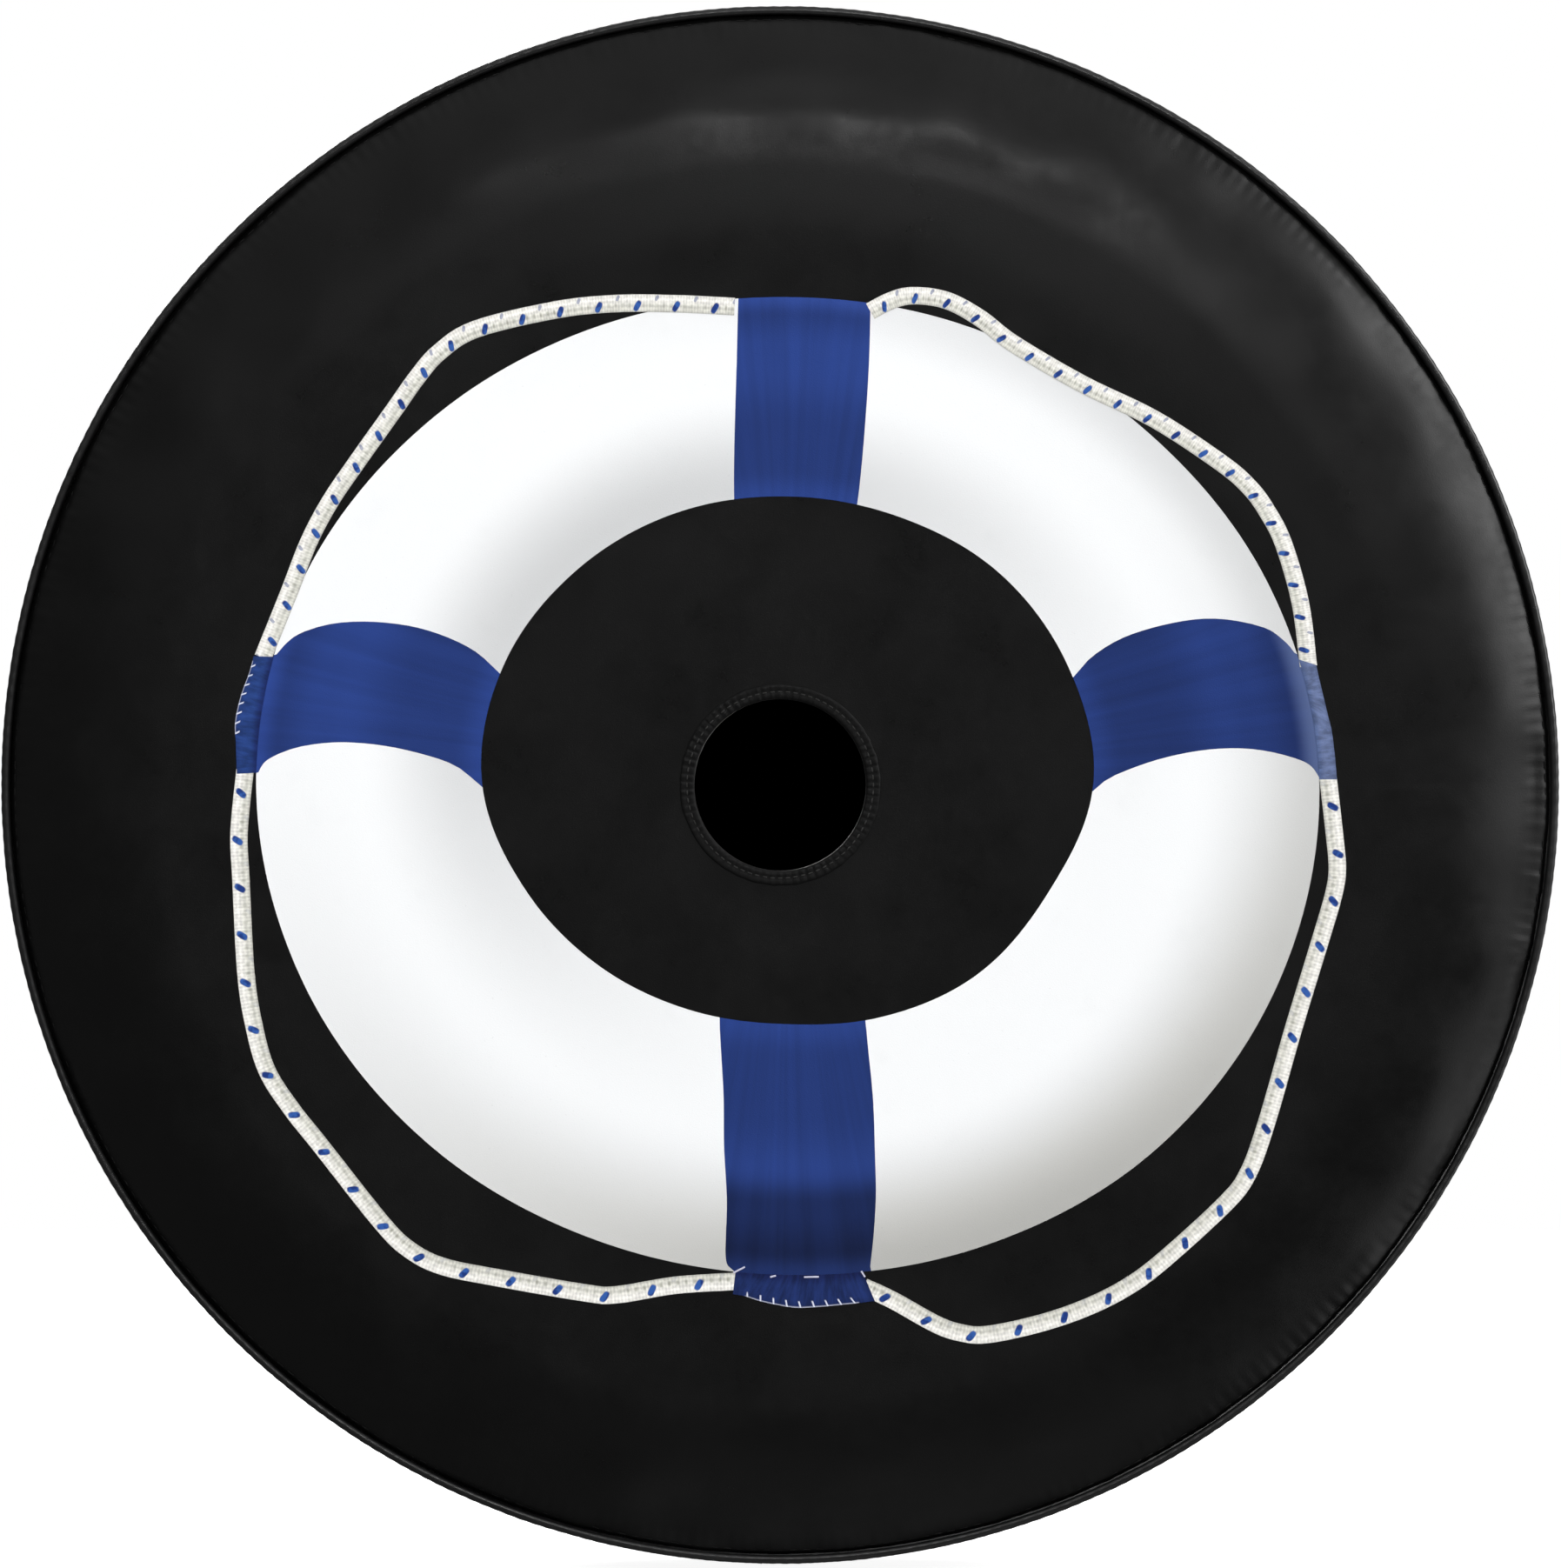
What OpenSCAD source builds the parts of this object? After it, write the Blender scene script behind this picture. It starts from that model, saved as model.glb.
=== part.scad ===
// Spare tyre cover: a round vinyl face with a printed life ring and a camera port, a side band over
// the tread, and a hem behind the tyre that an elastic cord draws in.
// The axis of the wheel is Y, the face looks along -Y, and +Z is up. The origin is the tyre's centre.
// Profiles are lists of [r, h]: r is the distance from the axis and h the distance forward, so y = -h.

/* [Tyre] */
// Outer diameter of the tyre that the cover is cut for
tyre_d = 814; // [780:1:830]
// Width of that tyre across its sidewalls
tyre_w = 255; // [240:1:270]

/* [Face] */
// Thickness of the face vinyl with its backing
face_t = 1.2; // [0.8:0.1:1.6]
// Radius of the flat middle of the face
flat_r = 324; // [320:1:335]
// Angle that the face has turned back at the seam
roll_angle = 42; // [36:1:48]

/* [Camera port] */
// Radius of the finished hole
port_r = 45; // [35:1:55]
// Width of the folded binding seen from the front
binding_w = 7.6; // [6:0.1:10]
// Thickness of one layer of the binding
binding_t = 0.8; // [0.5:0.1:1]
// Thickness of the plastic ring behind the hole
stiffener_t = 1; // [0.6:0.1:1.5]
// Number of stitches round the hole
port_stitches = 76; // [60:1:90]

/* [Side band] */
// Thickness of the band vinyl
band_t = 1; // [0.8:0.1:1.2]
// Half of the width of the straight part over the tread
band_half_w = 84; // [78:1:88]
// Radius of the bend over the rear shoulder
shoulder_r = 34; // [28:1:38]
// Angle that the band has turned in behind the tyre
return_angle = 68; // [60:1:72]
// Length of the straight run from that bend to the hem
return_l = 42; // [36:1:46]

/* [Piping] */
// Diameter of the piping
welt_d = 4.6; // [4:0.1:5]
// Diameter of the cord inside the piping
welt_core_d = 3; // [2.6:0.1:3.2]
// Thickness of the piping strip
welt_t = 0.7; // [0.5:0.1:0.7]
// Length of the seam allowance inside the cover
seam_l = 9; // [6:1:10]

/* [Hem and cord] */
// Thickness of the hem binding
casing_t = 0.9; // [0.6:0.1:0.9]
// Half of the height of the channel, outside
casing_half = 3.4; // [3.2:0.1:3.8]
// Diameter of the elastic cord
cord_d = 3.5; // [3:0.1:3.5]
// Half of the distance between the two cord exits
exit_x = 7; // [6.5:0.5:8]

/* [Cord lock] */
// Outer diameter of the barrel
barrel_d = 16; // [16:0.5:17]
// Diameter of the plunger
plunger_d = 11.6; // [11.4:0.1:11.8]
// Travel of the push button
press_travel = 4; // [3:0.5:4]
// Height of the barrel's middle at rest
lock_z = -374; // [-376:1:-374]

/* [Print] */
// Thickness of one printed film
film_t = 0.25; // [0.15:0.05:0.3]
// Width of the printed rope
rope_w = 9.2; // [8:0.2:11]
// Size of the whole print against its drawn outlines
print_scale = 0.9955; // [0.98:0.0005:1]

/* [Hidden] */

fine = 96;              // facets of small round things
gap = 0.02;             // clearance between layers that lie on each other
thread_d = 0.7;         // diameter of the sewing thread
thread_gap = 0.05;      // clearance between a row of thread and the cloth

// Main stations
tyre_gap = 2.5;                                 // room between tread and band
band_r = tyre_d / 2 + tyre_gap;                 // inner face of the band over the tread
face_h = tyre_w / 2 + 3.5;                      // outer face of the flat middle
seam_r = band_r - 4.2;                          // where face, piping and band meet
roll_r = (seam_r - flat_r) / sin(roll_angle);   // bend radius of the face towards the seam
seam_h = face_h - face_t / 2 - roll_r * (1 - cos(roll_angle));

// Distance from the seam line to the middle of the piping, and half the angle where its strip leaves it
welt_reach = 3.3;
welt_open = asin(welt_t / welt_d);

// Directions in the [r, h] plane: into the cover along the seam allowance, and across it
allowance_angle = 230;
seam_in = [cos(allowance_angle), sin(allowance_angle)];
seam_across = [-seam_in[1], seam_in[0]];
welt_centre = [seam_r, seam_h] - welt_reach * seam_in;

// Camera port: the plastic ring, and the row of stitches as [across the row, along it, height]
stiffener_w = 12;
port_row_r = port_r + 3.9;
port_stitch = [0.6, 2.6, 0.45];

// Centre line of the band, from the seam over the tread to the hem
band_mid_r = band_r + band_t / 2;
return_dir = [-sin(return_angle), -cos(return_angle)];
return_start = [band_mid_r - shoulder_r * (1 - cos(return_angle)),
    -band_half_w - shoulder_r * sin(return_angle)];
hem_point = return_start + return_l * return_dir;
band_front = [seam_r, seam_h] + (welt_t / 2 + band_t / 2 + gap) * seam_across;
// A cubic turns the band from the seam allowance onto the tread
function bezier(a, b, c, d, n) = [for (i = [0:n]) let (t = i / n, u = 1 - t)
    u * u * u * a + 3 * u * u * t * b + 3 * u * t * t * c + t * t * t * d];
band_line = concat(
    [band_front + seam_l * seam_in],
    bezier(band_front, band_front - 1.2 * seam_in, [band_mid_r, seam_h - 1], [band_mid_r, band_half_w], 8),
    [for (i = [0:10]) let (a = return_angle * i / 10)
        [band_mid_r - shoulder_r * (1 - cos(a)), -band_half_w - shoulder_r * sin(a)]],
    [hem_point]);

// Centre line of the face, from the hole to the seam allowance
face_hole_r = port_r + binding_t + gap;
face_mid_h = face_h - face_t / 2;
face_seam = [seam_r, seam_h] - (welt_t / 2 + face_t / 2 + gap) * seam_across;
face_line = concat(
    [[face_hole_r, face_mid_h]],
    [for (i = [0:12]) let (a = roll_angle * i / 12)
        [flat_r + (face_seam[0] - 0.8 - flat_r) * sin(a) / sin(roll_angle),
         face_mid_h - (face_mid_h - face_seam[1] - 0.6) * (1 - cos(a)) / (1 - cos(roll_angle))]],
    [face_seam + seam_in, face_seam + seam_l * seam_in]);

// Hem casing in its own [s, w] plane: s runs towards the axis, w across, and its edge is at s = 0
casing_overlap = 8;
casing_l = 22;
casing_slim = band_t / 2 + gap + casing_t;
casing_origin = hem_point - casing_overlap * return_dir;
return_normal = [-return_dir[1], return_dir[0]];
function casing_at(s, w) = casing_origin + s * return_dir + w * return_normal;
function casing_width(s) = s < casing_overlap - 1 ? casing_slim
    : s < casing_overlap + 3
        ? casing_slim + (casing_half - casing_slim) * pow(sin((s - casing_overlap + 1) * 90 / 4), 2)
    : s < casing_l - casing_half ? casing_half
    : sqrt(max(0, pow(casing_half, 2) - pow(s - casing_l + casing_half, 2)));
function channel_width(s) = max(band_t / 2 + gap, casing_width(s) - casing_t);
casing_s = [0, 4, 7, 8, 9, 10, 11, 14, 17, 18.6, 19.4, 20.2, 20.9, 21.5, 21.85, 22];
cord_s = casing_l - casing_t - cord_d / 2 - 0.3;
casing_row_s = 4;       // the row of stitches that closes the casing
eyelet_s = 15.4;
eyelet_hole_r = 3.3;
cord_ring = casing_at(cord_s, 0);
// Half angle of the stretch at the bottom where the cord leaves the channel
cord_gap_angle = 3.2;
// The tails are stretched a little thinner than the cord in the channel
tail_d = cord_d - 0.1;

// Cord lock
cord_pitch = cord_d + 0.4;
pinch_gap = 0.4;
barrel_bore_d = plunger_d + 0.6;
barrel_x = [-14, 9];
barrel_l = barrel_x[1] - barrel_x[0];
barrel_end_t = 2;
plunger_x = [-5.5, 13];
plunger_l = plunger_x[1] - plunger_x[0] + 1;    // it reaches 1 mm into the button
button_l = 4;
button_d = 14.8;
slot_y = cord_pitch / 2 + cord_d / 2 + pinch_gap;
// The tails run straight down at this depth, behind the drawn-in band
tail_y = 139;
cord_end_z = -404;
rear_y = tail_y + cord_pitch / 2;
front_y = tail_y - cord_pitch / 2;

// Routes of the two tails, from the channel through the eyelets and down through the lock
tail_right = [[22.6, 135.4, -338.75], [18, 135.4, -339], [15, 135.2, -339.6], [12, 135, -340.7],
    [10, 134.9, -341.9], [8.3, 135.6, -343], [7.2, 137, -344], [6.8, 139.1, -344.9], [6.6, 140.9, -346.4], [6.2, 142.2, -349],
    [5.2, 142.6, -353], [3.2, 142.2, -358], [1.1, 141.3, -362], [0, rear_y, -365.5], [0, rear_y, -384],
    [0, rear_y, cord_end_z]];
tail_left = [[-22.6, 135.4, -338.75], [-18, 135.4, -339], [-15, 135.2, -339.6], [-12, 135, -340.7],
    [-10, 134.9, -341.9], [-8.3, 135.6, -343], [-7.2, 137, -344], [-6.8, 139.1, -344.9], [-6.6, 140.9, -346.4],
    [-6.2, 141.8, -349.2], [-5, 141.4, -353.2], [-2.8, 139.4, -358], [-1, 137.6, -362], [0, front_y, -365.5],
    [0, front_y, -384], [0, front_y, cord_end_z]];

// Printed life ring: outlines as radii every 22.5 degrees about the ring's centre, anticlockwise from +X
ring_centre = [4, 1];
ring_outer = [280, 274, 264.5, 258.7, 256, 260.5, 268.5, 277, 280, 276, 268.3, 261, 259, 264.6, 273.5, 279];
ring_inner = [161, 160, 157, 152, 151, 154, 158, 162, 161, 149, 138, 130, 127, 133, 142, 149];
// Edges of the blue bands as [angle, radius], each from the inner outline to the outer one
band_edges = [
    [[-1.6, 161], [1, 170], [3.4, 192], [4.5, 218], [4.2, 245], [2.4, 272], [0.6, 280]],
    [[20.3, 161], [22.6, 174], [23.4, 197], [21.7, 234], [18.4, 262], [16, 272], [14.2, 276]],
    [[76, 152], [77.6, 188], [79, 224], [80.2, 256]],
    [[100.7, 152], [98.7, 185], [97, 221], [95.8, 257]],
    [[159.2, 162], [157, 181], [157.2, 211], [159.8, 246], [163, 269], [166, 278]],
    [[180.8, 161], [176.9, 176], [175, 203], [174.7, 232], [175.7, 257], [177.4, 274], [178.9, 279]],
    [[253.8, 129], [256.1, 146], [258.4, 168], [260.1, 195], [261.7, 222], [262.6, 253], [263.8, 258]],
    [[288.1, 132], [286.7, 148], [285.2, 171], [283.4, 198], [281.9, 225], [279.7, 258]]];

// Printed rope: centre lines of its four loops, as [x, z]
rope_loops = [
    [[-24, 252], [-55, 253.5], [-88, 253.5], [-119.5, 250], [-160.5, 240], [-179.5, 228], [-191, 215],
        [-203, 198], [-224, 168.5], [-237.5, 148.5], [-248.5, 127.5], [-259, 100.5], [-272.5, 67]],
    [[-281.8, 8], [-285, -25], [-284, -50], [-281.5, -98], [-277.5, -125], [-270.5, -150], [-257.5, -170.5],
        [-242, -190], [-210, -230.5], [-195, -245], [-178, -253.5], [-152, -259], [-103, -267.5], [-86, -268.5],
        [-55, -263.5], [-22, -261.4]],
    [[44, -264.3], [59.5, -271.5], [82, -284], [95, -288.5], [109, -289.5], [135.5, -284], [159.5, -276],
        [181, -265.5], [200.5, -251.5], [234, -221], [246.5, -204.5], [256.5, -177], [270.5, -128], [284.5, -82],
        [291.5, -58], [293.5, -44], [292, -26], [288.6, 4]],
    [[277.9, 62.5], [274, 96], [265, 127.5], [256, 145], [247, 157], [232.5, 169.5], [197.5, 192.5], [159.5, 211],
        [123.5, 232], [106.5, 245], [92, 253.5], [80, 257], [67, 257.5], [57, 254.5], [47.5, 249.5]]];
// Printed wrappings over the rope's ends: outer edge, and the directions of both ends on the ring's outline
seizings = [
    [[[-277.3, 67.8], [-279.7, 59], [-284.3, 46.2], [-287.1, 32.7], [-286.7, 21.7], [-286.2, 5.9]],
        [166.2, 178.9]],
    [[[-24.9, -268.2], [-18.9, -269.2], [-9.6, -272.1], [6.5, -275.2], [19.4, -275], [35.4, -273.5],
        [49.9, -271.9]], [263.9, 278.7]],
    [[[293.3, 2.9], [292.1, 16.3], [290.5, 29], [288.8, 35.7], [283.8, 56.8], [282.4, 63.2]], [0.4, 13.6]]];

// Seam that closes the band into a ring, at the lowest line: its tape and its two rows of stitches
tape_l = 152;
tape_t = 0.85;
tape_angle = 4.4;
joint_row_l = 148;
joint_row_angle = 1.4;

// Drain eyelets in the band, as [distance along the axis, angle from the lowest line]
drains = [[-42, -8.4], [42, 8.4]];
drain_hole_r = 4;
drain_flange_r = 8;
washer_t = 0.5;
washer_depth = band_t + washer_t + 0.2;

// ---- helpers ----

// A profile in [r, h] turned round the wheel's axis, or through part of a turn from angle from
module spun(angle = 360, from = 0)
    rotate([90, 0, 0])
        rotate([0, 0, from])
            rotate_extrude(angle = angle, $fn = 360)
                children();

// A profile in [radius, length] turned round X, with its length along +X
module spun_x()
    rotate([0, 90, 0])
        rotate_extrude($fn = fine)
            children();

// Direction of a line at its point i, as a unit vector
function heading(line, i) = let (a = line[max(i - 1, 0)], b = line[min(i + 1, len(line) - 1)])
    (b - a) / norm(b - a);

// Points of a line moved sideways by d
function shifted(line, d) = [for (i = [0:len(line) - 1]) let (u = heading(line, i)) line[i] + d * [-u[1], u[0]]];

function reversed(list) = [for (i = [len(list) - 1:-1:0]) list[i]];

// A strip of width w along a line
module strip(line, w)
    polygon(concat(shifted(line, w / 2), reversed(shifted(line, -w / 2))));

// Smooth curve through points, with n pieces between each two
function smooth_at(a, b, c, d, t) = 0.5 * (2 * b + t * (c - a) + t * t * (2 * a - 5 * b + 4 * c - d)
    + t * t * t * (3 * b - a - 3 * c + d));
function smooth(p, n) = let (last = len(p) - 1) concat([for (i = [0:last - 1], k = [0:n - 1])
    smooth_at(p[max(i - 1, 0)], p[i], p[i + 1], p[min(i + 2, last)], k / n)], [p[last]]);

// Radius of an outline that is given at even steps round the circle
function outline_r(radii, angle) = let (n = len(radii), t = angle * n / 360 + n, i = floor(t))
    smooth_at(radii[(i - 1) % n], radii[i % n], radii[(i + 1) % n], radii[(i + 2) % n], t - i);

function polar(angle, r) = ring_centre + r * [cos(angle), sin(angle)];

// A band edge as points, with its ends on the two outlines
function edge_points(e, turn) = let (m = smooth(e, 2), last = len(m) - 1)
    [for (i = [0:last]) polar(m[i][0] + turn,
        i == 0 ? outline_r(ring_inner, m[i][0]) : i == last ? outline_r(ring_outer, m[i][0]) : m[i][1])];

function arc_points(radii, from, to) = let (n = ceil(abs(to - from) / 4))
    [for (i = [1:n - 1]) let (a = from + (to - from) * i / n) polar(a, outline_r(radii, a))];

// A piece of the printed ring between two of its band edges
module ring_sector(first, second) {
    turn = second < first ? 360 : 0;
    a = band_edges[first];
    b = band_edges[second];
    end_a = a[len(a) - 1][0];
    end_b = b[len(b) - 1][0] + turn;
    polygon(concat(arc_points(ring_inner, a[0][0], b[0][0] + turn), edge_points(b, turn),
        arc_points(ring_outer, end_b, end_a), reversed(edge_points(a, 0))));
}

// A flat film on the face, from height low to height high above it
module film(low, high)
    rotate([90, 0, 0])
        translate([0, 0, face_h + low])
            linear_extrude(high - low)
                scale(print_scale)
                    children();

// The whole outline of the printed ring, bands included
module ring_area()
    for (i = [0:7])
        ring_sector(i, (i + 1) % 8);

// A round cord swept along a smooth route
function unit(v) = v / norm(v);
function sweep_ring(p, dir, r, sides) = let (side = unit(cross(dir, [1, 1, 1])), up = cross(side, dir))
    [for (k = [0:sides - 1]) p + r * (cos(k * 360 / sides) * side + sin(k * 360 / sides) * up)];
module swept(route, d, sides) {
    n = len(route);
    rings = [for (i = [0:n - 1]) each sweep_ring(route[i], heading(route, i), d / 2, sides)];
    walls = [for (i = [0:n - 2], k = [0:sides - 1]) let (a = i * sides + k, b = i * sides + (k + 1) % sides)
        each [[a, b, b + sides], [a, b + sides, a + sides]]];
    polyhedron(rings, concat([[for (k = [sides - 1:-1:0]) k]], walls,
        [[for (k = [0:sides - 1]) (n - 1) * sides + k]]));
}

// An eyelet with its flange on +Z and its lip rolled behind depth t
module eyelet(hole_r, flange_r, t) {
    barrel_r = hole_r + 0.4;
    lip_gap = 0.13;
    lip_t = 0.25;
    lip_w = 0.4;
    rotate_extrude($fn = fine)
        polygon([[hole_r, 0.5], [hole_r, -t - lip_gap - lip_t], [barrel_r + lip_w, -t - lip_gap - lip_t],
            [barrel_r + lip_w, -t - lip_gap], [barrel_r, -t - lip_gap], [barrel_r, 0.05], [flange_r, 0.05],
            [flange_r - 0.5, 0.6], [hole_r + 0.5, 0.7]]);
}

module eyelet_washer(hole_r, washer_r, t)
    translate([0, 0, -t])
        difference() {
            cylinder(r = washer_r, h = washer_t, $fn = fine);
            translate([0, 0, -1])
                cylinder(r = hole_r + 0.5, h = washer_t + 2, $fn = fine);
        }

module eyelet_hole(hole_r)
    translate([0, 0, -6])
        cylinder(r = hole_r + 0.5, h = 12, $fn = fine);

// Places children on the band, with +Z outwards
module on_band(y, angle)
    translate([0, y, 0])
        rotate([0, 180 + angle, 0])
            translate([0, 0, band_r + band_t])
                children();

// Places children on the rear wall of the hem casing at the cord exits, with +Z outwards
module at_exits()
    for (side = [-1, 1])
        rotate([0, side * asin(exit_x / casing_at(eyelet_s, 0)[0]), 0])
            translate([0, -casing_at(eyelet_s, casing_half)[1], -casing_at(eyelet_s, casing_half)[0]])
                rotate([return_angle - 180, 0, 0])
                    children();

// ---- face ----

module face_panel() color("#161616")
    spun()
        strip(face_line, face_t);

module print_life_ring() color("#f4f4f2")
    film(0, film_t) {
        ring_sector(1, 2);
        ring_sector(3, 4);
        ring_sector(5, 6);
        ring_sector(7, 0);
    }

module print_ring_bands() color("#263f8c")
    film(0, film_t) {
        ring_sector(0, 1);
        ring_sector(2, 3);
        ring_sector(4, 5);
        ring_sector(6, 7);
    }

module over_ring() {
    film(film_t, 2 * film_t)
        children();
    film(0, film_t)
        difference() {
            children();
            ring_area();
        }
}

// A wrapping's shape, from its outer edge to the ring
module seizing_area(edge, ends)
    difference() {
        polygon(concat(smooth(edge, 3), [for (a = reversed(ends)) polar(a, outline_r(ring_outer, a) - 1)]));
        ring_area();
    }

// The rope's ends stop just short of the wrappings
module print_grab_rope() color("#e6e4da")
    for (loop = rope_loops)
        over_ring()
            difference() {
                strip(smooth(loop, 3), rope_w);
                for (s = seizings)
                    offset(delta = 0.05)
                        seizing_area(s[0], s[1]);
            }

module print_rope_seizings() color("#22367a")
    for (s = seizings)
        over_ring()
            seizing_area(s[0], s[1]);

// ---- camera port ----

// The binding wraps the hole's edge: a front leg, the wall of the hole and a rear leg
module camera_port_binding() color("#242424") {
    front = face_h + binding_t + gap;
    back = face_h - face_t - stiffener_t - 3 * gap - binding_t;
    outer = port_r + binding_w;
    spun()
        polygon([[port_r, back + 0.3], [port_r, front - 0.3], [port_r + 0.3, front], [outer - 0.3, front],
            [outer, front - 0.4], [outer, face_h + gap], [port_r + binding_t, face_h + gap],
            [port_r + binding_t, back + binding_t], [outer, back + binding_t], [outer, back],
            [port_r + 0.3, back]]);
}

module camera_port_stiffener() color("#101010")
    spun()
        translate([face_hole_r, face_h - face_t - stiffener_t - 2 * gap])
            square([stiffener_w, stiffener_t]);

module camera_port_thread() color("#5a5a58")
    rotate([90, 0, 0])
        for (i = [0:port_stitches - 1])
            rotate([0, 0, i * 360 / port_stitches])
                translate([port_row_r, -port_stitch[1] / 2, face_h + binding_t + 2 * gap])
                    cube(port_stitch);

// ---- seam with piping ----

module welt_cover() color("#2a2a2a")
    spun()
        difference() {
            polygon(concat(
                [for (i = [0:24]) let (a = allowance_angle + welt_open + (360 - 2 * welt_open) * i / 24)
                    welt_centre + welt_d / 2 * [cos(a), sin(a)]],
                [for (side = [-1, 1]) [seam_r, seam_h] + seam_l * seam_in + side * welt_t / 2 * seam_across]));
            translate(welt_centre)
                circle(d = welt_core_d + 0.1, $fn = 32);
        }

module welt_core() color("#d8d4c8")
    spun()
        translate(welt_centre)
            circle(d = welt_core_d, $fn = 32);

module face_seam_thread() color("#0c0c0c")
    spun()
        translate(shifted(face_line, face_t / 2 + thread_d / 2 + thread_gap)[12])
            circle(d = thread_d, $fn = 16);

// ---- side band ----

module side_band() color("#1a1a1a")
    difference() {
        spun()
            strip(band_line, band_t);
        for (d = drains)
            on_band(d[0], d[1])
                eyelet_hole(drain_hole_r);
    }

module band_joint_tape() color("#101010")
    spun(tape_angle, -90 - tape_angle / 2)
        translate([band_r - tape_t - thread_gap, -tape_l / 2])
            square([tape_t, tape_l]);

module band_joint_thread() color("#3a3a3a")
    for (side = [-1, 1])
        rotate([0, side * joint_row_angle, 0])
            translate([0, -joint_row_l / 2, -band_r - band_t - thread_d / 2 - thread_gap])
                rotate([-90, 0, 0])
                    cylinder(d = thread_d, h = joint_row_l, $fn = 16);

module drain_eyelets() color("#8f8f8c")
    for (d = drains)
        on_band(d[0], d[1])
            eyelet(drain_hole_r, drain_flange_r, washer_depth);

module drain_eyelet_washers() color("#7c7c7a")
    for (d = drains)
        on_band(d[0], d[1])
            eyelet_washer(drain_hole_r, drain_flange_r - 0.5, washer_depth);

// ---- hem ----

module hem_casing() color("#141414")
    difference() {
        spun()
            polygon(concat(
                [for (s = casing_s) casing_at(s, casing_width(s))],
                [for (s = reversed(casing_s)) if (s < casing_l) casing_at(s, -casing_width(s))],
                [for (s = casing_s) if (s < casing_l - casing_t) casing_at(s, -channel_width(s))],
                [casing_at(casing_l - casing_t, 0)],
                [for (s = reversed(casing_s)) if (s < casing_l - casing_t) casing_at(s, channel_width(s))]));
        at_exits()
            translate([0, 0, -casing_half / 2])
                cylinder(r = eyelet_hole_r + 0.5, h = 2 * casing_half, $fn = fine);
    }

module hem_thread() color("#3a3a3a")
    spun()
        for (side = [-1, 1])
            translate(casing_at(casing_row_s, side * (casing_slim + thread_d / 2 + thread_gap)))
                circle(d = thread_d, $fn = 16);

module hem_eyelets() color("#8f8f8c")
    at_exits()
        eyelet(eyelet_hole_r, eyelet_hole_r + 1.7, casing_t);

// ---- drawcord and cord lock ----

module drawcord() color("#202020") {
    spun(360 - 2 * cord_gap_angle, -90 + cord_gap_angle)
        translate(cord_ring)
            circle(d = cord_d, $fn = 24);
    swept(smooth(tail_right, 3), tail_d, 10);
    swept(smooth(tail_left, 3), tail_d, 10);
}

module cord_end_cap() color("#0e0e0e")
    translate([0, tail_y, cord_end_z - 4])
        difference() {
            rotate_extrude($fn = fine)
                polygon([[0, 0], [3.4, 0], [4.8, 1.4], [4.9, 8.6], [4.3, 9.2], [0, 9.2]]);
            for (side = [-1, 1])
                translate([0, side * cord_pitch / 2, 3.8])
                    cylinder(d = cord_d + 0.2, h = 8, $fn = fine);
        }

module cord_slot(from_x, to_x)
    translate([(from_x + to_x) / 2, 0, 0])
        cube([to_x - from_x, 2 * slot_y, 3 * barrel_d], center = true);

module at_lock()
    translate([0, tail_y, lock_z])
        children();

module cord_lock_body() color("#0c0c0c")
    at_lock()
        difference() {
            translate([barrel_x[0], 0, 0])
                spun_x()
                    polygon([[0, 0], [barrel_d / 2 - 2, 0], [barrel_d / 2 - 0.6, 0.6], [barrel_d / 2, 2],
                        [barrel_d / 2, barrel_l - 2], [barrel_d / 2 - 0.4, barrel_l - 0.6],
                        [barrel_d / 2 - 1, barrel_l], [barrel_bore_d / 2, barrel_l],
                        [barrel_bore_d / 2, barrel_end_t], [0, barrel_end_t]]);
            cord_slot(-cord_d / 2 - pinch_gap, cord_d / 2 + pinch_gap);
        }

module cord_lock_plunger() color("#1c1c1c")
    at_lock()
        difference() {
            union() {
                translate([plunger_x[0], 0, 0])
                    spun_x()
                        polygon([[0, 0], [plunger_d / 2 - 0.6, 0], [plunger_d / 2, 0.6],
                            [plunger_d / 2, plunger_l], [0, plunger_l]]);
                translate([plunger_x[1], 0, 0])
                    spun_x()
                        polygon([[0, 0], [button_d / 2 - 0.4, 0], [button_d / 2, 0.5],
                            [button_d / 2, button_l - 1.2], [button_d / 2 - 1.2, button_l], [0, button_l]]);
            }
            cord_slot(-cord_d / 2 - pinch_gap, cord_d / 2 + pinch_gap + press_travel);
        }

module cord_lock_spring() color("#b8b8b8") {
    wire_d = 0.7;
    coil_r = 4.2;
    coils = 4;
    low = barrel_x[0] + barrel_end_t + wire_d / 2 + 0.1;
    high = plunger_x[0] - wire_d / 2 - 0.2;
    steps = 12 * coils;
    at_lock()
        swept([for (i = [0:steps]) [low + (high - low) * i / steps, coil_r * cos(i * 30), coil_r * sin(i * 30)]],
            wire_d, 6);
}

face_panel();
print_life_ring();
print_ring_bands();
print_grab_rope();
print_rope_seizings();
camera_port_binding();
camera_port_stiffener();
camera_port_thread();
welt_cover();
welt_core();
face_seam_thread();
side_band();
band_joint_tape();
band_joint_thread();
drain_eyelets();
drain_eyelet_washers();
hem_casing();
hem_thread();
hem_eyelets();
drawcord();
cord_end_cap();
cord_lock_body();
cord_lock_plunger();
cord_lock_spring();
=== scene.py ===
"""Looks of the spare tyre cover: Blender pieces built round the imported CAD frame.

Lengths are in metres. The wheel's axis is Y, the face looks along -Y and +Z is up. Surfaces that go
round the wheel are written as profiles of (r, y), turned round the axis by revolve() or revolve_loop().
"""

import math
from functools import reduce

import bmesh
import bpy
import numpy as np
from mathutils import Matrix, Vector, noise


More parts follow.
